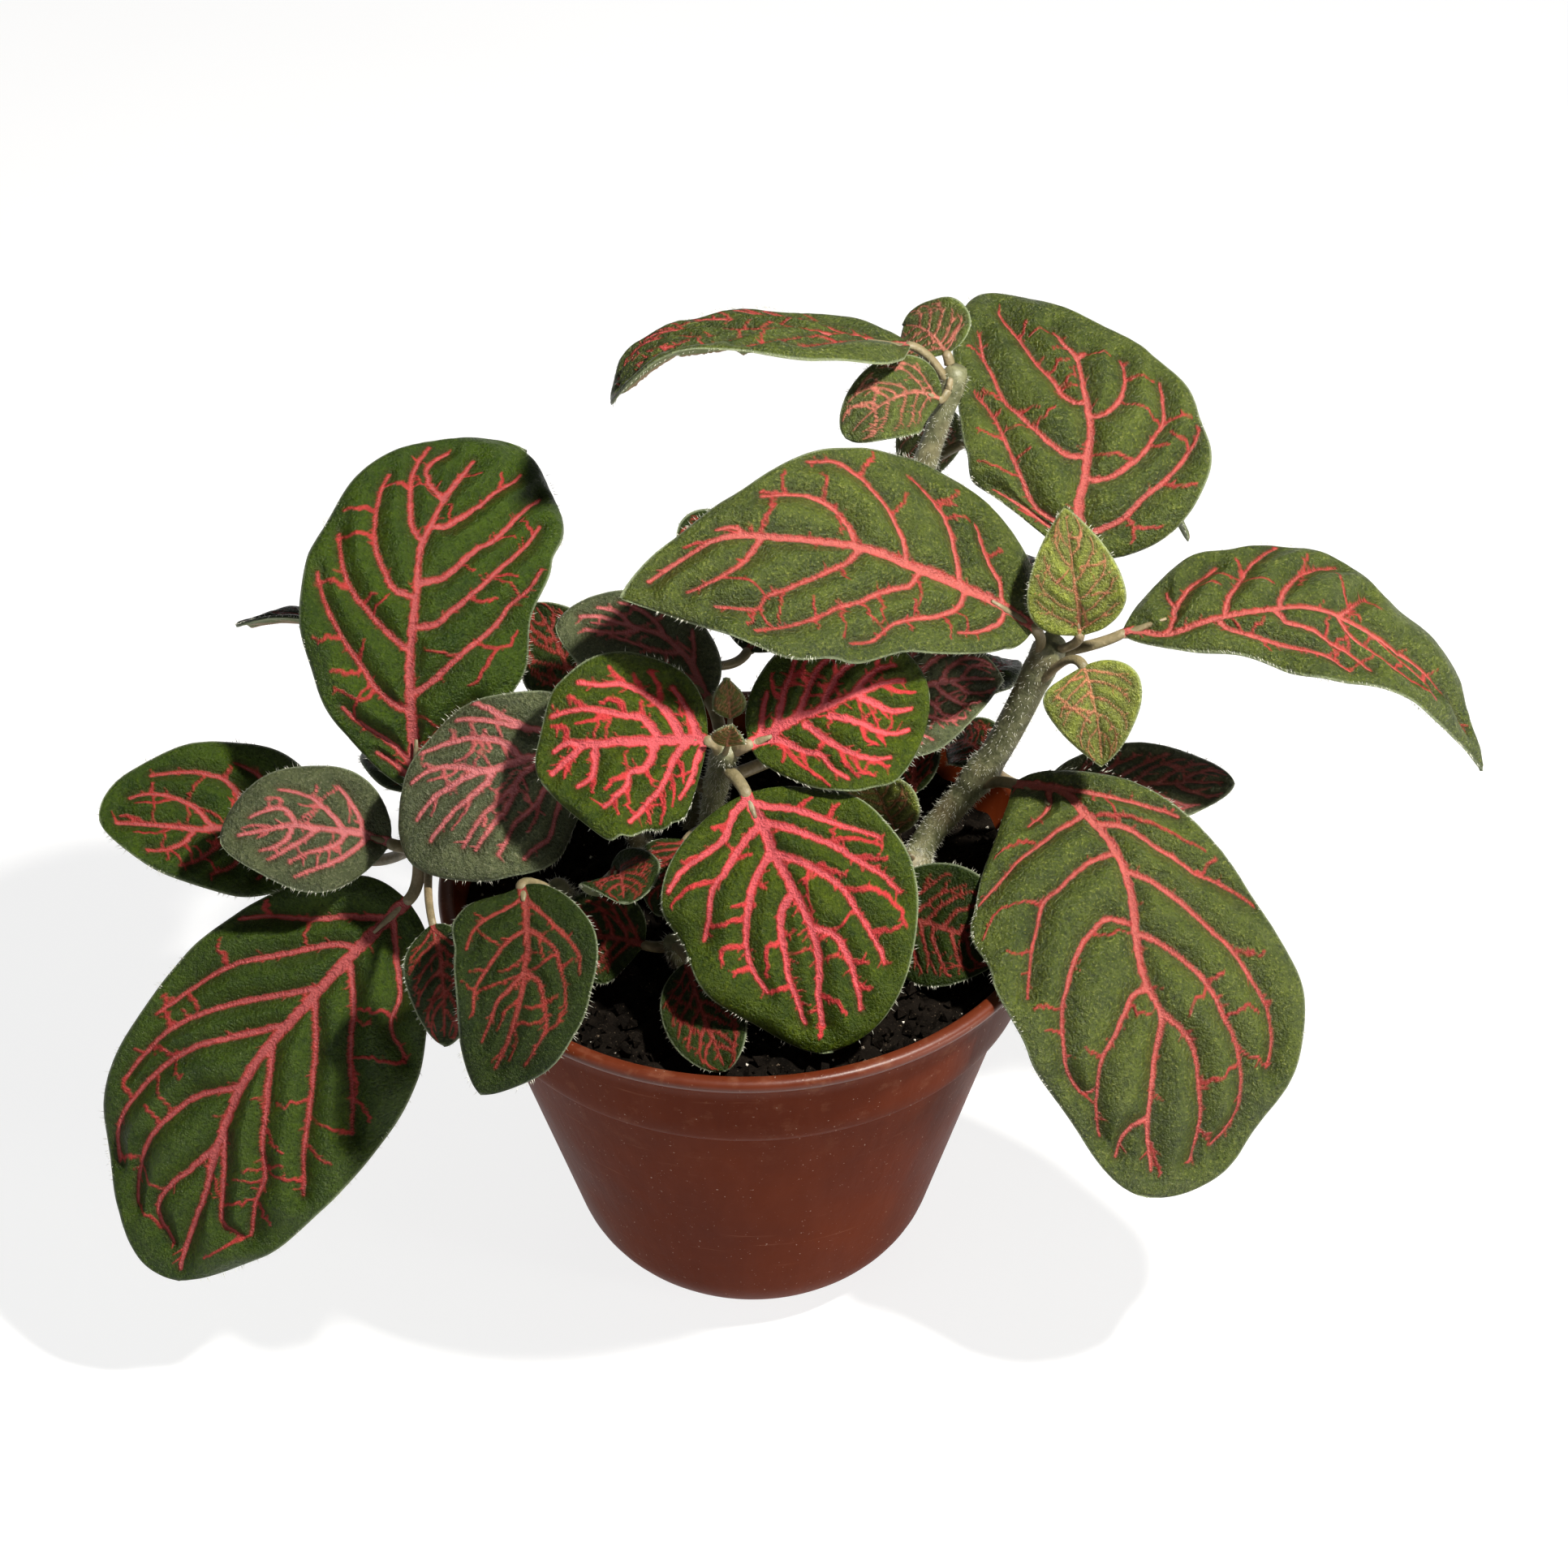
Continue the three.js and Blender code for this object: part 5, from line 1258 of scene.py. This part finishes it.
def add_lumps(mesh, centres, sizes, material, random):
    """Small uneven eight-sided lumps."""
    shape = np.array([(1, 0, 0), (0, 1, 0), (-1, 0, 0), (0, -1, 0), (0, 0, 1), (0, 0, -1)], float)
    faces = np.array([(0, 1, 4), (1, 2, 4), (2, 3, 4), (3, 0, 4), (1, 0, 5), (2, 1, 5), (3, 2, 5), (0, 3, 5)])
    count = len(centres)
    spin = np.linalg.qr(random.normal(0, 1, (count, 3, 3)))[0]
    spin = spin * np.sign(np.linalg.det(spin))[:, None, None]
    uneven = shape[None] * random.uniform(0.55, 1.0, (count, 6, 1))
    points = np.einsum("nij,nkj->nki", spin, uneven) * sizes[:, None, None] + centres[:, None]
    index = faces[None] + 6 * np.arange(count)[:, None, None]
    mesh.add(points.reshape(-1, 3), index.reshape(-1, 3), material)


# ---------------------------------------------------------------- materials


class Nodes:
    """A short way to write a node material. Noise scales are per metre: 2600 gives grains of about 0.4 mm."""

    def __init__(self, name, roughness, specular=0.5):
        self.material = bpy.data.materials.new(name)
        self.material.use_nodes = True
        self.tree = self.material.node_tree
        self.shader = self.tree.nodes["Principled BSDF"]
        self.shader.inputs["Roughness"].default_value = roughness
        self.shader.inputs["Specular IOR Level"].default_value = specular

    def node(self, kind, inputs=(), **settings):
        """A new node, with its inputs as pairs of a socket's name or number and its value or link."""
        node = self.tree.nodes.new("ShaderNode" + kind)
        for key, value in settings.items():
            setattr(node, key, value)
        for key, value in inputs:
            self.feed(node.inputs[key], value)
        return node

    def feed(self, socket, value):
        if hasattr(value, "is_output"):
            self.tree.links.new(value, socket)
        elif isinstance(value, tuple) and socket.type == "RGBA":
            socket.default_value = (*value, 1)
        else:
            socket.default_value = value

    def coords(self):
        return self.node("TexCoord").outputs["Object"]

    def noise(self, scale, detail, rough, stretch=(1, 1, 1)):
        """Noise with features of 1 / scale metres, or of 1 / (scale * stretch) where stretch is given."""
        vector = self.coords()
        if stretch != (1, 1, 1):
            vector = self.node("Mapping", [("Vector", vector), ("Scale", stretch)]).outputs["Vector"]
        inputs = [("Scale", scale), ("Detail", detail), ("Roughness", rough), ("Vector", vector)]
        return self.node("TexNoise", inputs).outputs["Fac"]

    def attribute(self, name):
        return self.node("Attribute", attribute_name=name).outputs["Fac"]

    def fade(self, value, low, high, first=0.0, last=1.0):
        """value brought from the range low to high into the range first to last."""
        ranges = [("From Min", low), ("From Max", high), ("To Min", first), ("To Max", last)]
        return self.node("MapRange", [("Value", value), *ranges]).outputs["Result"]

    def mix(self, factor, a, b):
        return self.node("Mix", [(0, factor), (6, a), (7, b)], data_type="RGBA").outputs[2]

    def plus(self, a, b):
        return self.node("Math", [(0, a), (1, b)], operation="ADD").outputs[0]

    def times(self, a, b):
        return self.node("Math", [(0, a), (1, b)], operation="MULTIPLY").outputs[0]

    def bump(self, height, strength, distance):
        inputs = [("Height", height), ("Strength", strength), ("Distance", distance)]
        return self.node("Bump", inputs).outputs["Normal"]

    def finish(self, **sockets):
        for key, value in sockets.items():
            self.feed(self.shader.inputs[key.replace("_", " ")], value)
        return self.material


def scaled(colour, factor):
    return tuple(factor * c for c in colour)


def leaf_material(name, dark, light, vein, rib, speck, sparkle, specular):
    """The upper side of a blade: tissue of two greens with painted light and shade on its relief, fine pale
    specks partly painted as glints, red veins and a pale margin.
    """
    n = Nodes(name, 0.4, specular)
    tone = n.fade(n.attribute("tone"), -1.2, 1.2)
    between = n.attribute("between")
    mottle = n.fade(n.noise(420, 5, 0.65), 0.3, 0.7)
    weight = n.plus(n.times(tone, 0.35), n.times(mottle, 0.5))
    # The tissue is lighter where it swells up between the veins and darker where it dips to them: painted light
    # and shade.
    tissue = n.mix(n.plus(weight, n.times(between, 0.15)), dark, light)
    grain = n.noise(2600, 3, 0.65)
    pucker = n.noise(1100, 3, 0.6)
    # Darker in the pucker's dips and lighter on its rises, where the bump below also lies low and high: painted
    # shade and light.
    tissue = n.mix(n.fade(pucker, 0.32, 0.5, 0.25, 0), tissue, scaled(dark, 0.7))
    tissue = n.mix(n.fade(pucker, 0.5, 0.7, 0, 0.2), tissue, scaled(light, 1.4))
    # Pale specks on the grain's high points: partly pale papillae, partly painted glints.
    tissue = n.mix(n.fade(grain, 0.56, 0.74, 0, sparkle), tissue, speck)
    # Darker in the grain's low points, the pits of the bump below: painted shade.
    tissue = n.mix(n.fade(grain, 0.3, 0.46, 0.75, 0), tissue, scaled(dark, 0.35))
    # Dark reddish brown beside the major veins, where the tissue dips: painted shade.
    brown = (0.08 * vein[0], 0.02, 0.004)
    tissue = n.mix(n.fade(between, 0.02, 0.3, 0.55, 0), tissue, brown)
    red = n.mix(n.fade(n.noise(900, 3, 0.6), 0.35, 0.7), scaled(vein, 0.72), scaled(vein, 1.1))
    red = n.mix(n.times(n.fade(n.attribute("major"), 0.75, 1.0), 0.45), red, rib)
    mask = n.fade(n.attribute("vein"), 0.14, 0.84)
    colour = n.mix(mask, tissue, red)
    margin = n.fade(n.attribute("edge"), 0.1, 0.35, 0.5, 0)
    colour = n.mix(margin, colour, (0.26, 0.30, 0.19))
    height = n.plus(grain, n.plus(n.times(pucker, 0.6), n.times(mask, 0.35)))
    gloss = n.fade(grain, 0.35, 0.7, 0.5, 0.26)
    return n.finish(Base_Color=colour, Normal=n.bump(height, 1.0, 0.0005), Roughness=gloss)


def under_material():
    n = Nodes("leaf_under", 0.6)
    tissue = n.mix(n.noise(500, 4, 0.6), (0.10, 0.13, 0.05), (0.24, 0.27, 0.13))
    ribs = n.fade(n.attribute("major"), 0.3, 0.8)
    colour = n.mix(n.times(ribs, 0.7), tissue, (0.40, 0.24, 0.17))
    grain = n.noise(3600, 2, 0.5)
    colour = n.mix(n.fade(grain, 0.55, 0.75, 0, 0.35), colour, (0.42, 0.44, 0.33))
    return n.finish(Base_Color=colour, Normal=n.bump(grain, 0.5, 0.0002))


def stalk_material(name, dark, light):
    n = Nodes(name, 0.55)
    colour = n.mix(n.fade(n.noise(700, 4, 0.6), 0.3, 0.7), dark, light)
    blush = n.fade(n.noise(140, 2, 0.5), 0.5, 0.8, 0, 0.25)
    colour = n.mix(blush, colour, (0.26, 0.13, 0.08))
    return n.finish(Base_Color=colour, Normal=n.bump(n.noise(2600, 2, 0.5), 0.5, 0.0002))


def hair_material():
    n = Nodes("hair", 0.45)
    return n.finish(Base_Color=n.mix(n.noise(900, 2, 0.5), (0.42, 0.42, 0.32), (0.70, 0.70, 0.62)))


def soil_material():
    n = Nodes("soil", 0.85, 0.03)
    clod = n.fade(n.noise(260, 5, 0.65), 0.3, 0.7)
    colour = n.mix(clod, (0.002, 0.0016, 0.0012), (0.010, 0.0075, 0.0055))
    speck = n.fade(n.noise(2600, 2, 0.6), 0.66, 0.74, 0, 0.6)
    colour = n.mix(speck, colour, (0.16, 0.12, 0.08))
    return n.finish(Base_Color=colour, Normal=n.bump(n.noise(1500, 5, 0.7), 0.9, 0.0006))


def grit_material():
    n = Nodes("grit", 0.6)
    tint = n.fade(n.noise(700, 3, 0.6), 0.35, 0.65)
    return n.finish(Base_Color=n.mix(tint, (0.16, 0.13, 0.10), (0.62, 0.58, 0.50)))


def pot_material(name, specular):
    """Moulded terracotta-brown plastic: cloudy colour, fine upright streaks, dust near the lip, scuffs."""
    n = Nodes(name, 0.42, specular)
    cloud = n.noise(45, 4, 0.55)
    colour = n.mix(n.fade(cloud, 0.3, 0.7), (0.066, 0.010, 0.002), (0.096, 0.017, 0.004))
    streak = n.noise(1.0, 3, 0.6, stretch=(420, 420, 26))
    colour = n.mix(n.fade(streak, 0.45, 0.75, 0, 0.22), colour, (0.12, 0.028, 0.012))
    dust = n.noise(300, 6, 0.7)
    height = n.node("SeparateXYZ", [(0, n.coords())]).outputs["Z"]
    dusty = n.times(n.fade(dust, 0.55, 0.78, 0, 0.4), n.fade(height, 0.036, 0.064))
    colour = n.mix(dusty, colour, (0.24, 0.11, 0.06))
    specks = n.noise(2400, 2, 0.5)
    colour = n.mix(n.fade(specks, 0.71, 0.76, 0, 0.5), colour, (0.5, 0.36, 0.28))
    scuff = n.noise(1.0, 5, 0.65, stretch=(60, 60, 900))
    colour = n.mix(n.fade(scuff, 0.64, 0.72, 0, 0.3), colour, (0.22, 0.09, 0.05))
    rough = n.fade(cloud, 0.3, 0.7, 0.36, 0.5)
    normal = n.bump(n.plus(streak, n.times(dust, 0.4)), 0.25, 0.0003)
    return n.finish(Base_Color=colour, Roughness=rough, Normal=normal)


# Looks of the leaf kinds: dark and light tissue, vein and its rib, speck (pale papillae and painted glints),
# how strong the specks are, and the specular level.
LEAF_LOOKS = {
    "mature": ((0.005, 0.014, 0.001), (0.062, 0.082, 0.006), (0.29, 0.032, 0.026), (0.44, 0.13, 0.11),
               (0.34, 0.36, 0.09), 0.38, 0.3),
    "vivid": ((0.005, 0.018, 0.0005), (0.036, 0.063, 0.001), (0.32, 0.031, 0.027), (0.37, 0.11, 0.11),
              (0.20, 0.25, 0.04), 0.2, 0.2),
    "rosette": ((0.005, 0.018, 0.0005), (0.045, 0.064, 0.0005), (0.41, 0.033, 0.034), (0.52, 0.12, 0.14),
                (0.28, 0.32, 0.04), 0.2, 0.15),
    "dusky": ((0.018, 0.026, 0.008), (0.070, 0.082, 0.032), (0.38, 0.080, 0.076), (0.44, 0.16, 0.17),
              (0.28, 0.27, 0.17), 0.4, 0.28),
    # shade: darker tissue and veins for leaves that sit in shade: painted shade.
    "shade": ((0.003, 0.010, 0.0005), (0.016, 0.027, 0.001), (0.19, 0.022, 0.016), (0.23, 0.055, 0.045),
              (0.12, 0.16, 0.04), 0.3, 0.12),
    "olive": ((0.020, 0.035, 0.002), (0.080, 0.105, 0.014), (0.34, 0.10, 0.07), (0.42, 0.19, 0.13),
              (0.32, 0.34, 0.10), 0.45, 0.3),
    "young": ((0.055, 0.074, 0.005), (0.20, 0.23, 0.024), (0.36, 0.13, 0.06), (0.42, 0.22, 0.12),
              (0.54, 0.54, 0.16), 0.5, 0.35),
}
MATERIALS = {f"leaf_{kind}": leaf_material(f"leaf_{kind}", *look) for kind, look in LEAF_LOOKS.items()}
MATERIALS.update({
    "leaf_under": under_material(),
    "leaf_stalk": stalk_material("leaf_stalk", (0.10, 0.085, 0.038), (0.20, 0.16, 0.085)),
    "stem": stalk_material("stem", (0.060, 0.066, 0.026), (0.18, 0.18, 0.095)),
    "hair": hair_material(),
    "soil": soil_material(),
    "grit": grit_material(),
    "pot": pot_material("pot_plastic", 0.02),
    "lip": pot_material("pot_lip", 0.3),
})


# ---------------------------------------------------------------- stage


def add_camera():
    elevation = math.radians(CAMERA_ELEVATION)
    back = Vector((0, -math.cos(elevation), math.sin(elevation)))
    right = Vector((1, 0, 0))
    up = back.cross(right)
    roll_right = right * math.cos(CAMERA_ROLL) + up * math.sin(CAMERA_ROLL)
    roll_up = back.cross(roll_right)
    data = bpy.data.cameras.new("camera")
    data.lens = CAMERA_LENS
    data.sensor_width = SENSOR
    data.clip_start = CAMERA_NEAR * MM
    camera = bpy.data.objects.new("camera", data)
    turn = Matrix((roll_right, roll_up, back)).transposed().to_4x4()
    camera.matrix_world = Matrix.Translation((Vector(CAMERA_TARGET) + back * CAMERA_DISTANCE) * MM) @ turn
    bpy.context.scene.collection.objects.link(camera)
    bpy.context.scene.camera = camera


def add_light(name, spot, size, watts, colour):
    """A square lamp that faces the plant."""
    data = bpy.data.lights.new(name, "AREA")
    data.size = size * MM
    data.energy = watts
    data.color = colour
    light = bpy.data.objects.new(name, data)
    light.location = Vector(spot) * MM
    light.rotation_euler = (Vector(CAMERA_TARGET) * MM - light.location).to_track_quat("-Z", "Y").to_euler()
    bpy.context.scene.collection.objects.link(light)


def add_floor():
    half = FLOOR_HALF * MM
    mesh = bpy.data.meshes.new("floor")
    corners = [(-half, -half, 0), (half, -half, 0), (half, half, 0), (-half, half, 0)]
    mesh.from_pydata(corners, [], [(0, 1, 2, 3)])
    floor = bpy.data.objects.new("floor", mesh)
    n = Nodes("paper_floor", 0.9)
    n.finish(Base_Color=n.mix(n.noise(12, 2, 0.5), (0.24, 0.24, 0.24), (0.28, 0.28, 0.28)))
    n.finish(Emission_Color=(1, 1, 1), Emission_Strength=FLOOR_GLOW)
    mesh.materials.append(n.material)
    bpy.context.scene.collection.objects.link(floor)


def add_stage():
    world = bpy.data.worlds.new("studio")
    world.use_nodes = True
    background = world.node_tree.nodes["Background"].inputs
    background["Color"].default_value = (1, 1, 1, 1)
    background["Strength"].default_value = WORLD_STRENGTH
    bpy.context.scene.world = world
    bpy.context.scene.view_settings.view_transform = "Standard"
    add_floor()
    for name, values in LIGHTS.items():
        add_light(name, *values)


# ---------------------------------------------------------------- the plant

add_camera()
add_stage()
make_pot()
make_soil(rng)
for stem_name in STEMS:
    make_stem(stem_name, rng)
for number, (leaf_name, leaf_entry) in enumerate(LEAVES.items()):
    make_leaf(leaf_name, leaf_entry, number * WAVE_STEP, np.random.default_rng(LEAF_SEED + number))
